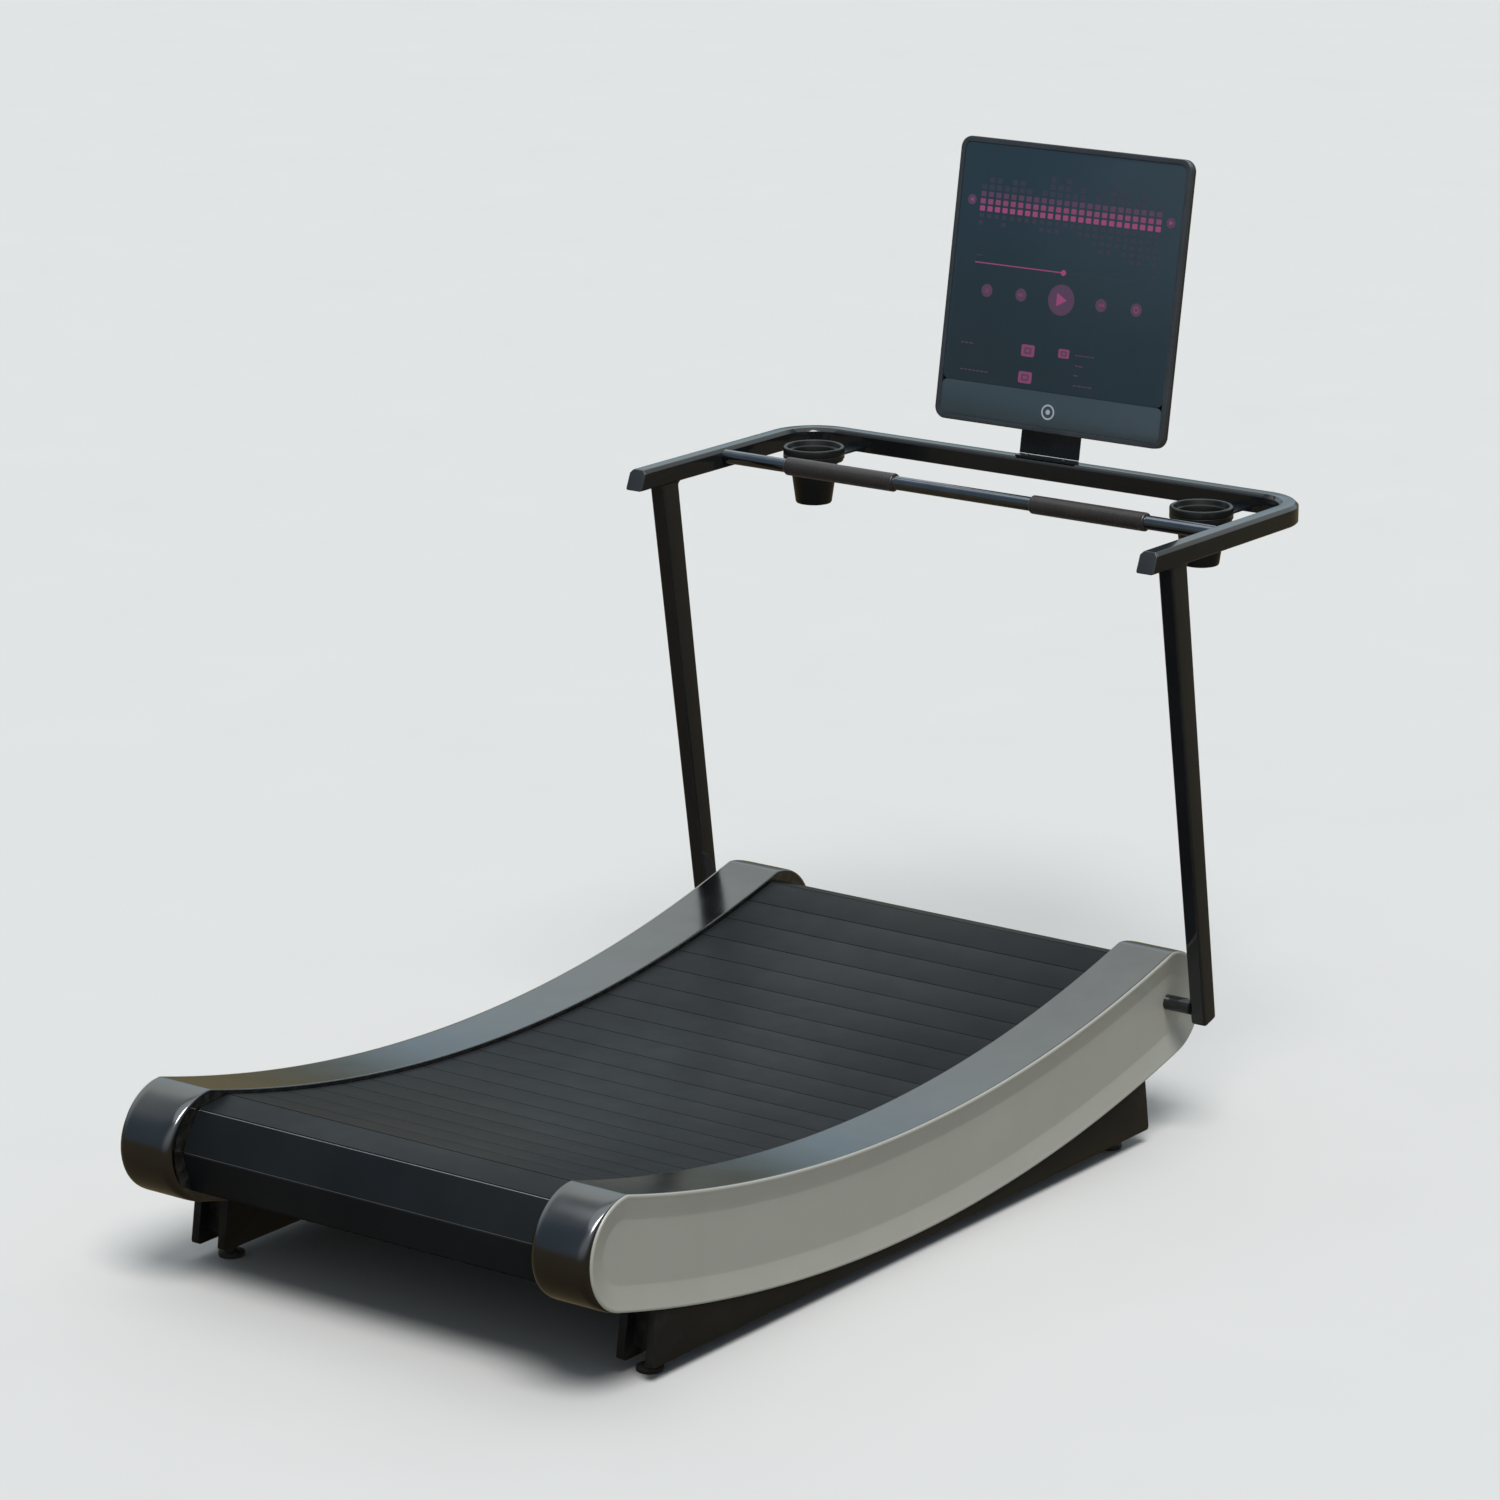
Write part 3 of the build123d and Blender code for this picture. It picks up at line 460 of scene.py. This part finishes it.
# =============================================================== rail outline
X_IN, X_OUT, T_PANEL, T_CAP = 357.0, 467.0, 3.5, 3.0
R_TOP, Z_TOP, R_BOT, Z_BOT = 2821.7, 3041.1, 2967.0, 3006.0
Y_END, R_END = 750.0, 91.2
Z_END = Z_BOT - sqrt((R_BOT - R_END) ** 2 - Y_END ** 2)
A_BULGE = 104.5
BASE_Y = 690.0


def corner(off):
    rt, re = R_TOP + off, R_END - off
    lo, hi = -0.3, 0.6

    def f(a):
        return hypot(Y_END + re * sin(a), Z_END + re * cos(a) - Z_TOP) - rt
    for _ in range(70):
        m = (lo + hi) / 2
        if f(lo) * f(m) <= 0:
            hi = m
        else:
            lo = m
    return (lo + hi) / 2


def outline(off, M=90, K=36):
    """closed outline of the rail side, inset by off: top arc, front round, bottom arc, rear round"""
    rt, rb, re = R_TOP + off, R_BOT - off, R_END - off
    a = corner(off)
    tf = (Y_END + re * sin(a), Z_END + re * cos(a))
    d = hypot(Y_END, Z_END - Z_BOT)
    bf = (Y_END + re * Y_END / d, Z_END + re * (Z_END - Z_BOT) / d)
    tht, thb = asin(tf[0] / rt), asin(bf[0] / rb)
    a0, a1 = atan2(tf[1] - Z_END, tf[0] - Y_END), atan2(bf[1] - Z_END, bf[0] - Y_END)
    pts = []
    for i in range(M):
        t = -tht + 2 * tht * i / M
        pts.append((rt * sin(t), Z_TOP - rt * cos(t)))
    for i in range(K):
        t = a0 + (a1 - a0) * i / K
        pts.append((Y_END + re * cos(t), Z_END + re * sin(t)))
    for i in range(M):
        t = thb - 2 * thb * i / M
        pts.append((rb * sin(t), Z_BOT - rb * cos(t)))
    for i in range(K):
        t = a1 + (a0 - a1) * i / K
        pts.append((-(Y_END + re * cos(t)), Z_END + re * sin(t)))
    return pts


def build_panel(side):
    s = 1 if side == "right" else -1
    M, K = 90, 36
    prof = [(38.6, 453.8), (3.4, 463.4), (0.0, 463.55), (0.0, 464.6), (0.35, 465.5), (1.1, 466.3), (2.3, 466.85), (3.6, 467.0), (4.6, 466.86),
            (5.6, 466.5), (7.0, 466.0), (12.0, 464.62), (20.0, 462.42), (30.0, 459.67), (38.0, 457.55), (39.6, 457.28), (41.4, 457.2), (43.0, 457.2)]
    loops = [outline(max(o, 0.0), M, K) for o, _ in prof]
    n = len(loops[0])
    vs, fs = [], []
    for (o, x), lp in zip(prof, loops):
        vs += [P(s * x, y, z) for y, z in lp]
    for k in range(len(prof) - 1):
        for i in range(n):
            j = (i + 1) % n
            fs.append((k * n + i, k * n + j, (k + 1) * n + j, (k + 1) * n + i))
    b = (len(prof) - 1) * n

    def q(*ids):
        ids = [b + (i % n) for i in ids]
        out = []
        for i in ids:
            if i not in out:
                out.append(i)
        if len(out) > 2:
            fs.append(tuple(out))
    for i in range(M):
        q(i, i + 1, 2 * M + K - i - 1, 2 * M + K - i)
    for k in range(K // 2):
        q(M + k, M + k + 1, M + K - k - 1, M + K - k)
        q(2 * M + K + k, 2 * M + K + k + 1, 2 * M + 2 * K - k - 1, 2 * M + 2 * K - k)
    # inner skin
    b = 0
    for i in range(M):
        q(2 * M + K - i, 2 * M + K - i - 1, i + 1, i)
    for k in range(K // 2):
        q(M + K - k, M + K - k - 1, M + k + 1, M + k)
        q(2 * M + 2 * K - k, 2 * M + 2 * K - k - 1, 2 * M + K + k + 1, 2 * M + K + k)
    from_lists(side + "_side_panel_skin", vs, fs, MAT["panel_silver"], "frame", (side + "_side_panel",), angle=28)


def cap_path():
    """stations along the cap: (y, z, inward ny, nz), from the rear underside over the top to the front underside"""
    d = hypot(Y_END, Z_END - Z_BOT)
    bf = (Y_END + R_END * Y_END / d, Z_END + R_END * (Z_END - Z_BOT) / d)
    a1 = atan2(bf[1] - Z_END, bf[0] - Y_END)
    half = []
    # top arc from the middle to the crease
    th = asin(Y_END / R_TOP)
    ts = [th * i / 48 for i in range(0, 48)] + [th - 5.0 / R_TOP, th - 1.2 / R_TOP]
    for t in ts:
        half.append((R_TOP * sin(t), Z_TOP - R_TOP * cos(t), sin(t), -cos(t)))
    # crease and end round
    K = 52
    an = [pi / 2 - 1.0 / R_END, pi / 2 - 4.0 / R_END] + [pi / 2 + (a1 - pi / 2) * i / K for i in range(2, K + 1)]
    for t in an:
        half.append((Y_END + R_END * cos(t), Z_END + R_END * sin(t), -cos(t), -sin(t)))
    yb0, yb1 = bf[0], BASE_Y + 3.0
    for i in range(1, 9):
        y = yb0 + (yb1 - yb0) * i / 8
        z = Z_BOT - sqrt(R_BOT ** 2 - y * y)
        half.append((y, z, -y / R_BOT, (Z_BOT - z) / R_BOT))
    rear = [(-y, z, -ny, nz) for y, z, ny, nz in half[:0:-1]]
    return rear + half


def build_cap(side):
    s = 1 if side == "right" else -1
    x1 = X_OUT - T_PANEL
    path = cap_path()

    def kf(t):
        t = min(max(t, 0.0), 16.0)
        return 1 + (A_BULGE / R_END - 1) * sqrt(max(0.0, 1 - (1 - t / 16.0) ** 2))
    prof = [(X_IN, 3.0, 1.0), (X_IN, 2.0, 1.0), (X_IN + 0.3, 1.0, kf(0.1)), (X_IN + 0.9, 0.35, kf(0.5)), (X_IN + 2.0, 0.0, kf(1.4))]
    for t in (3.2, 4.8, 6.8, 9.5, 12.5, 16.0, 30.0):
        prof.append((X_IN + t, 0.0, kf(t)))
    W = x1 - X_IN
    for t in (16.0, 12.5, 9.5, 6.8, 4.8, 3.2):
        prof.append((x1 - t, 0.0, kf(t)))
    prof += [(x1 - 1.6, 0.0, kf(1.4)), (x1 - 0.7, 0.3, kf(0.5)), (x1 - 0.2, 0.9, kf(0.1)), (x1, 1.8, 1.0), (x1, 3.0, 1.0)]
    # a strip beside the ends keeps the bulge from reaching into the straight top
    vs, fs = [], []
    m = len(prof)
    for y, z, ny, nz in path:
        for x, dd, k in prof:
            yy = y
            if abs(y) > Y_END:
                sg = 1 if y > 0 else -1
                yy = sg * (Y_END + (abs(y) - Y_END) * k)
            vs.append(P(s * x, yy + ny * dd, z + nz * dd))
    for i in range(len(path) - 1):
        for j in range(m):
            jj = (j + 1) % m
            fs.append((i * m + j, i * m + jj, (i + 1) * m + jj, (i + 1) * m + j))
    fs.append(tuple(range(m)))
    e = (len(path) - 1) * m
    fs.append(tuple(e + j for j in range(m - 1, -1, -1)))
    from_lists(side + "_rail_cap_skin", vs, fs, MAT["cap_chrome"], "frame", (side + "_rail_cap",), angle=32)


for sd in ("right", "left"):
    build_panel(sd)
    build_cap(sd)

# =============================================================== refined CAD nodes
refine("top_slats", 0.0006, 2, 24, mat=TOP_SLAT, angle=40)
for n in ("front_wrap_slats", "rear_wrap_slats", "return_slats"):
    refine(n, 0.0003, 2, 24, angle=40)
for n in ("right_outer_base_plate", "left_outer_base_plate", "right_inner_base_plate", "left_inner_base_plate"):
    refine(n, 0.0010, 2, 30)
for n in ("right_base_web", "left_base_web"):
    refine(n, 0.0006, 2, 30)
refine("handrail_frame", 0.0014, 3, 20, diss=0.2, angle=30)
for n in ("right_arm_cap", "left_arm_cap"):
    refine(n, 0.0012, 3, 20)
for n in ("right_upright", "left_upright"):
    refine(n, 0.0005, 2, 40)
for n in ("console_bezel", "console_back", "screen_glass", "control_strip"):
    refine(n, 0.0004, 2, 35)
refine("console_bracket", 0.0008, 2, 35)
for n in ("right_cup_bracket", "left_cup_bracket"):
    refine(n, 0.0006, 2, 35)
for n in ("console_screws", "stub_bolts", "foot_lock_nuts", "base_tie_blocks"):
    refine(n, 0.0005, 2, 35)

# =============================================================== turned pieces
CUP_X, CUP_Y, CUP_Z = 401.3, 915.0, 1054.7
cup_prof = [(0, -101.5), (28.0, -101.5), (30.6, -100.8), (32.0, -98.5), (42.6, -24.0), (43.1, -21.4), (53.2, -21.0), (54.0, -20.2),
            (54.0, -14.2), (53.3, -13.6), (53.3, -12.6), (54.0, -12.0), (54.0, -3.2), (53.4, -1.4), (51.8, -0.2), (50.0, 0), (48.5, -0.3), (47.2, -1.4),
            (46.4, -3.6), (44.6, -8.5), (42.0, -10.2), (41.4, -12.0), (40.5, -21.0), (29.8, -94.0), (28.4, -97.2), (26.0, -98.5), (0, -98.5)]
for sd, s in (("right", 1), ("left", -1)):
    lathe(sd + "_cup_skin", cup_prof, P(s * CUP_X, CUP_Y, CUP_Z), "Z", MAT["cup_black"], "frame", (sd + "_cup_holder",), seg=128, angle=28)

BAR_Y, BAR_Z = 794.5, 1043.5
bar_prof = [(9.5, -505.2), (12.0, -505.2), (12.0, -300), (12.0, 0), (12.0, 300), (12.0, 505.2), (9.5, 505.2)]
lathe("crossbar_skin", bar_prof, P(0, BAR_Y, BAR_Z), "X", MAT["crossbar_steel"], "frame", ("crossbar",), seg=72)
G0, G1 = 141.5, 370.2
for sd, s in (("right", 1), ("left", -1)):
    pr = [(12.02, G0), (14.0, G0), (14.6, G0 + 0.25), (15.7, G0 + 1.7), (16.0, G0 + 3.0)]
    h = G0 + 7.0
    while h < G1 - 8.0:
        pr += [(16.0, h), (15.72, h + 0.5), (15.72, h + 1.1), (16.0, h + 1.6)]
        h += 4.0
    pr += [(16.0, G1 - 3.0), (15.7, G1 - 1.7), (14.6, G1 - 0.25), (14.0, G1), (12.02, G1)]
    pr = [(r, q * s) for r, q in pr]
    lathe(sd + "_grip_skin", pr, P(0, BAR_Y, BAR_Z), "X", MAT["grip_rubber"], "frame", (sd + "_grip",), seg=72, angle=50)

FOOT_X, FOOT_YR, FOOT_YF = 421.0, -641.0, 632.0
for nm, sx, fy in (("right_rear", 1, FOOT_YR), ("left_rear", -1, FOOT_YR), ("right_front", 1, FOOT_YF), ("left_front", -1, FOOT_YF)):
    pr = [(0, 0), (19.5, 0), (21.0, 0.6), (21.5, 1.8), (21.5, 5.9), (21.1, 7.1), (20.0, 7.8), (18.0, 8.0), (12.0, 8.4), (9.4, 9.4), (9.0, 10.5), (9.0, 13.4), (8.4, 14.0), (5.9, 14.0)]
    h = 15.0
    while h < 74.0:
        pr += [(5.92, h), (5.25, h + 0.62), (5.92, h + 1.24)]
        h += 1.5
    pr += [(5.3, 76.0), (0, 76.0)]
    lathe(nm + "_foot_skin", pr, P(sx * FOOT_X, fy, 0), "Z", MAT["foot_rubber"], BODY_OF[nm + "_foot"], (nm + "_foot",), seg=64, angle=35)

STUB_Y, STUB_Z, STUB_R = 749.0, 234.0, 13.2
for sd in ("right", "left"):
    refine(sd + "_upright_stub", 0.0006, 2, 35)

# =============================================================== console display
CON_Y, CON_Z, LEAN = 1047.1, 1105.3, radians(9.41)
ZD = (0.0, -cos(LEAN), sin(LEAN))
YD = (0.0, sin(LEAN), cos(LEAN))


def CP(x, y, z):
    return P(x, CON_Y + y * YD[1] + z * ZD[1], CON_Z + y * YD[2] + z * ZD[2])


GZ = -1.2                        # glass face
shapes = {"hi": [], "mid": [], "low": [], "faint": [], "mark": []}


def flat(kind, pts, z=GZ + 0.02, t=0.12):
    """a thin flat outline laid on the glass"""
    shapes[kind].append((pts, z, t))


def rect(kind, x0, y0, x1, y1, z=GZ + 0.02):
    c = min(abs(x1 - x0), abs(y1 - y0)) * 0.12
    flat(kind, [(x0 + c, y0), (x1 - c, y0), (x1, y0 + c), (x1, y1 - c), (x1 - c, y1), (x0 + c, y1), (x0, y1 - c), (x0, y0 + c)], z)


def disc(kind, cx, cy, r, z=GZ + 0.02, n=40):
    flat(kind, [(cx + r * cos(2 * pi * i / n), cy + r * sin(2 * pi * i / n)) for i in range(n)], z)


def ringshape(kind, cx, cy, r0, r1, z=GZ + 0.02, n=48, a0=0.0, a1=2 * pi):
    for i in range(n):
        a = a0 + (a1 - a0) * i / n
        b = a0 + (a1 - a0) * (i + 1) / n
        flat(kind, [(cx + r0 * cos(a), cy + r0 * sin(a)), (cx + r1 * cos(a), cy + r1 * sin(a)),
                    (cx + r1 * cos(b), cy + r1 * sin(b)), (cx + r0 * cos(b), cy + r0 * sin(b))], z)


UP = [3, 4, 4, 3, 4, 4, 3, 2, 3, 5, 4, 5, 3, 4, 2, 3, 2, 5, 4, 4, 3, 4, 2, 3]
DOWN = [2, 1, 1, 2, 1, 1, 1, 1, 2, 2, 2, 1, 1, 2, 2, 3, 4, 4, 3, 4, 5, 5, 4, 5]
for c in range(24):
    x = -180.3 + c * 15.76
    for r in range(0, UP[c] + 1):
        y = 372.7 + r * 12.55
        w, h = 5.3, 4.6
        kind = "hi" if r == 0 else "mid" if r == 1 else "low" if r <= 2 else "faint"
        rect(kind, x - w, y - h, x + w, y + h)
    for r in range(1, DOWN[c] + 1):
        y = 372.7 - r * 12.55
        rect("faint", x - 4.6, y - 3.8, x + 4.6, y + 3.8)
for bx_, sg in ((-203.3, -1), (206.4, 1)):
    disc("low", bx_, 385.8, 9.0)
    flat("hi", [(bx_ + sg * 4.6, 385.8), (bx_ - sg * 3.0, 389.6), (bx_ - sg * 3.0, 382.0)], GZ + 0.16)
rect("hi", -184.6, 277.5, 0.6, 279.5)
disc("hi", 0.6, 278.5, 5.2, GZ + 0.16)
rect("faint", 0.6, 277.8, 191.6, 279.2)
rect("faint", 174.0, 287.6, 189.5, 290.2)
rect("faint", -184.0, 290.0, -169.0, 292.4)
for bx_ in (-153.4, -82.0, 83.5, 155.4):
    disc("low", bx_, 231.3, 11.4)
disc("low", 1.6, 231.5, 27.0)
disc("low", 1.6, 231.5, 24.6, GZ + 0.16)
flat("hi", [(13.6, 231.5), (-7.6, 243.2), (-7.6, 219.8)], GZ + 0.30)
for a in (0.8, -0.8):                                   # crossing arrows stand-in: a small cross
    dx, dy = 5.2 * cos(a), 5.2 * sin(a)
    nx, ny = -0.7 * sin(a), 0.7 * cos(a)
    flat("mid", [(-153.4 - dx + nx, 231.3 - dy + ny), (-153.4 + dx + nx, 231.3 + dy + ny), (-153.4 + dx - nx, 231.3 + dy - ny), (-153.4 - dx - nx, 231.3 - dy - ny)], GZ + 0.16)
for cx, sg in ((-82.0, -1), (83.5, 1)):
    for o in (-3.2, 2.4):
        flat("mid", [(cx + sg * (o + 5.0), 231.3), (cx + sg * o, 234.6), (cx + sg * o, 228.0)], GZ + 0.16)
ringshape("mid", 155.4, 231.3, 3.6, 5.8, GZ + 0.16, 24)
for cx, cy, w, h in ((-56.0, 137.0, 13.6, 10.4), (18.3, 140.2, 11.2, 7.8), (-56.4, 90.4, 14.0, 10.2)):
    rect("mid", cx - w, cy - h, cx + w, cy + h)
    rect("low", cx - w * 0.55, cy - h * 0.55, cx + w * 0.55, cy + h * 0.55, GZ + 0.16)
    rect("mid", cx - w * 0.30, cy - h * 0.26, cx + w * 0.30, cy + h * 0.26, GZ + 0.30)
for x0, x1, y in ((-197, -171, 137.0), (-193, -130, 90.3), (42.3, 85, 140.2), (43.8, 62.3, 122.1), (42.5, 56.2, 105.4), (43.1, 82.0, 87.8)):
    x = x0
    while x < x1 - 3:
        w = random.uniform(4.0, 9.0)
        rect("low", x, y - 1.0, min(x + w, x1), y + 1.0)
        x += w + 2.2
# plain round mark on the lower strip
ringshape("mark", -2.0, 36.0, 10.4, 13.4)
disc("mark", -2.0, 36.0, 4.4)

for kind, mat in (("hi", UI_HI), ("mid", UI_MID), ("low", UI_LOW), ("faint", UI_FAINT), ("mark", MARK)):
    vs, fs = [], []
    for pts, z, t in shapes[kind]:
        b, n = len(vs), len(pts)
        vs += [CP(x, y, z) for x, y in pts] + [CP(x, y, z + t) for x, y in pts]
        fs.append(tuple(b + i for i in range(n - 1, -1, -1)))
        fs.append(tuple(b + n + i for i in range(n)))
        for i in range(n):
            j = (i + 1) % n
            fs.append((b + i, b + j, b + n + j, b + n + i))
    me = bpy.data.meshes.new("display_" + kind)
    me.from_pydata(vs, [], fs)
    bm = bmesh.new()
    bm.from_mesh(me)
    bmesh.ops.recalc_face_normals(bm, faces=bm.faces)
    bm.to_mesh(me)
    bm.free()
    place("display_" + kind, me, mat, "frame")

# =============================================================== materials on the CAD nodes still shown
for n, o in NODES.items():
    mt = MAT[SLOT_OF[n]]
    if not o.material_slots:
        o.data.materials.append(mt)
    for sl in o.material_slots:
        sl.material = mt

# =============================================================== stage
def plain_floor():
    me = bpy.data.meshes.new("floor")
    s = 60.0
    me.from_pydata([(-s, -s, 0), (s, -s, 0), (s, s, 0), (-s, s, 0)], [], [(0, 1, 2, 3)])
    ob = bpy.data.objects.new("floor", me)
    bpy.context.scene.collection.objects.link(ob)
    ob.location.z = -0.0002
    m = bpy.data.materials.new("floor_pale")
    m.use_nodes = True
    nt = m.node_tree
    b = nt.nodes["Principled BSDF"]
    tc = N(nt, "ShaderNodeTexCoord")
    n = N(nt, "ShaderNodeTexNoise")
    n.inputs["Scale"].default_value = 3
    nt.links.new(tc.outputs["Object"], n.inputs["Vector"])
    mr = N(nt, "ShaderNodeMapRange")
    mr.inputs["To Min"].default_value = 0.49
    mr.inputs["To Max"].default_value = 0.51
    nt.links.new(n.outputs["Fac"], mr.inputs["Value"])
    nt.links.new(mr.outputs["Result"], b.inputs["Base Color"])
    b.inputs["Roughness"].default_value = 0.9
    b.inputs["Specular IOR Level"].default_value = 0.1
    me.materials.append(m)
    ob.visible_glossy = False


plain_floor()

world = bpy.data.worlds.new("studio")
bpy.context.scene.world = world
world.use_nodes = True
nt = world.node_tree
bg = nt.nodes["Background"]
tc = N(nt, "ShaderNodeTexCoord")
sx = N(nt, "ShaderNodeSeparateXYZ")
nt.links.new(tc.outputs["Generated"], sx.inputs[0])


def ramp(stops):
    cr = N(nt, "ShaderNodeValToRGB")
    el = cr.color_ramp.elements
    el[0].position, el[0].color = stops[0][0], (*stops[0][1], 1)
    el[1].position, el[1].color = stops[-1][0], (*stops[-1][1], 1)
    for pos, c in stops[1:-1]:
        e = el.new(pos)
        e.color = (*c, 1)
    mr = N(nt, "ShaderNodeMapRange")
    mr.inputs["From Min"].default_value = -1
    mr.inputs["From Max"].default_value = 1
    nt.links.new(sx.outputs["Z"], mr.inputs["Value"])
    nt.links.new(mr.outputs["Result"], cr.inputs["Fac"])
    return cr


# a bright, cool wall of light on the far side, a dim one behind the camera
far = ramp([(0.0, (0.07, 0.055, 0.035)), (0.50, (0.17, 0.14, 0.075)), (0.56, (0.13, 0.15, 0.13)), (0.61, (0.38, 0.50, 0.58)),
            (0.72, (0.70, 0.77, 0.78)), (0.84, (0.84, 0.87, 0.84)), (0.89, (0.30, 0.33, 0.35)), (1.0, (0.30, 0.33, 0.35))])
near = ramp([(0.0, (0.065, 0.05, 0.03)), (0.49, (0.10, 0.085, 0.06)), (0.54, (0.10, 0.13, 0.16)), (0.85, (0.12, 0.16, 0.20)), (1.0, (0.30, 0.33, 0.35))])
dp = N(nt, "ShaderNodeVectorMath", operation="DOT_PRODUCT")
nt.links.new(tc.outputs["Generated"], dp.inputs[0])
dp.inputs[1].default_value = (-0.60, 0.80, 0.0)
dm = N(nt, "ShaderNodeMapRange", interpolation_type="SMOOTHSTEP")
dm.inputs["From Min"].default_value = -0.1
dm.inputs["From Max"].default_value = 0.75
nt.links.new(dp.outputs["Value"], dm.inputs["Value"])
wm = N(nt, "ShaderNodeMix", data_type="RGBA")
nt.links.new(dm.outputs["Result"], wm.inputs["Factor"])
nt.links.new(near.outputs["Color"], wm.inputs["A"])
nt.links.new(far.outputs["Color"], wm.inputs["B"])
# a milder wall of light behind the machine's right, seen in the caps from the back
side = ramp([(0.0, (0.065, 0.05, 0.028)), (0.48, (0.10, 0.085, 0.06)), (0.54, (0.20, 0.22, 0.24)), (0.65, (0.36, 0.39, 0.41)), (0.85, (0.46, 0.48, 0.48)), (1.0, (0.30, 0.33, 0.35))])
dp2 = N(nt, "ShaderNodeVectorMath", operation="DOT_PRODUCT")
nt.links.new(tc.outputs["Generated"], dp2.inputs[0])
dp2.inputs[1].default_value = (0.50, -0.866, 0.0)
dm2 = N(nt, "ShaderNodeMapRange", interpolation_type="SMOOTHSTEP")
dm2.inputs["From Min"].default_value = 0.35
dm2.inputs["From Max"].default_value = 0.85
nt.links.new(dp2.outputs["Value"], dm2.inputs["Value"])
wm2 = N(nt, "ShaderNodeMix", data_type="RGBA")
nt.links.new(dm2.outputs["Result"], wm2.inputs["Factor"])
nt.links.new(wm.outputs["Result"], wm2.inputs["A"])
nt.links.new(side.outputs["Color"], wm2.inputs["B"])
# the backdrop itself is plain and pale
lp = N(nt, "ShaderNodeLightPath")
wm3 = N(nt, "ShaderNodeMix", data_type="RGBA")
nt.links.new(lp.outputs["Is Camera Ray"], wm3.inputs["Factor"])
nt.links.new(wm2.outputs["Result"], wm3.inputs["A"])
wm3.inputs["B"].default_value = (0.58, 0.60, 0.61, 1)
nt.links.new(wm3.outputs["Result"], bg.inputs["Color"])
bg.inputs["Strength"].default_value = 1.25


def light(name, kind, energy, loc, target, size=1.0, size_y=None, color=(1, 1, 1), angle=None):
    d = bpy.data.lights.new(name, kind)
    d.energy = energy
    d.color = color
    if kind == "AREA":
        d.shape = "RECTANGLE"
        d.size = size
        d.size_y = size_y or size
    if angle is not None:
        d.angle = angle
    o = bpy.data.objects.new(name, d)
    bpy.context.scene.collection.objects.link(o)
    o.location = loc
    o.rotation_mode = "QUATERNION"
    o.rotation_quaternion = (Vector(target) - Vector(loc)).to_track_quat("-Z", "Y")
    return o


light("key_soft", "SUN", 3.1, (1.95, -1.9, 5.0), (0, 0, 0), angle=radians(28), color=(1.0, 0.985, 0.95))
light("top_soft", "SUN", 0.8, (0.0, 0.0, 6.0), (0, 0, 0), angle=radians(70), color=(0.95, 0.98, 1.0))

# =============================================================== camera
cam_d = bpy.data.cameras.new("camera")
cam = bpy.data.objects.new("camera", cam_d)
bpy.context.scene.collection.objects.link(cam)
az, elv = 0.636521578202332, 0.26471408764997995
back = Vector((sin(az) * cos(elv), -cos(az) * cos(elv), sin(elv)))
rt_ = Vector((cos(az), sin(az), 0.0))
up_ = back.cross(rt_)
C = Vector((4.447669503 * 1.2, -5.930451639 * 1.2 + 0.0786 - 0.14445, 2.631802461 * 1.2))
cam.matrix_world = Matrix(((rt_.x, up_.x, back.x, C.x), (rt_.y, up_.y, back.y, C.y), (rt_.z, up_.z, back.z, C.z), (0, 0, 0, 1)))
cam_d.sensor_width = 36.0
cam_d.lens = 5692.0 / 1500.0 * 36.0
cam_d.clip_start, cam_d.clip_end = 0.1, 200.0
bpy.context.scene.camera = cam
bpy.context.scene.view_settings.view_transform = "Standard"
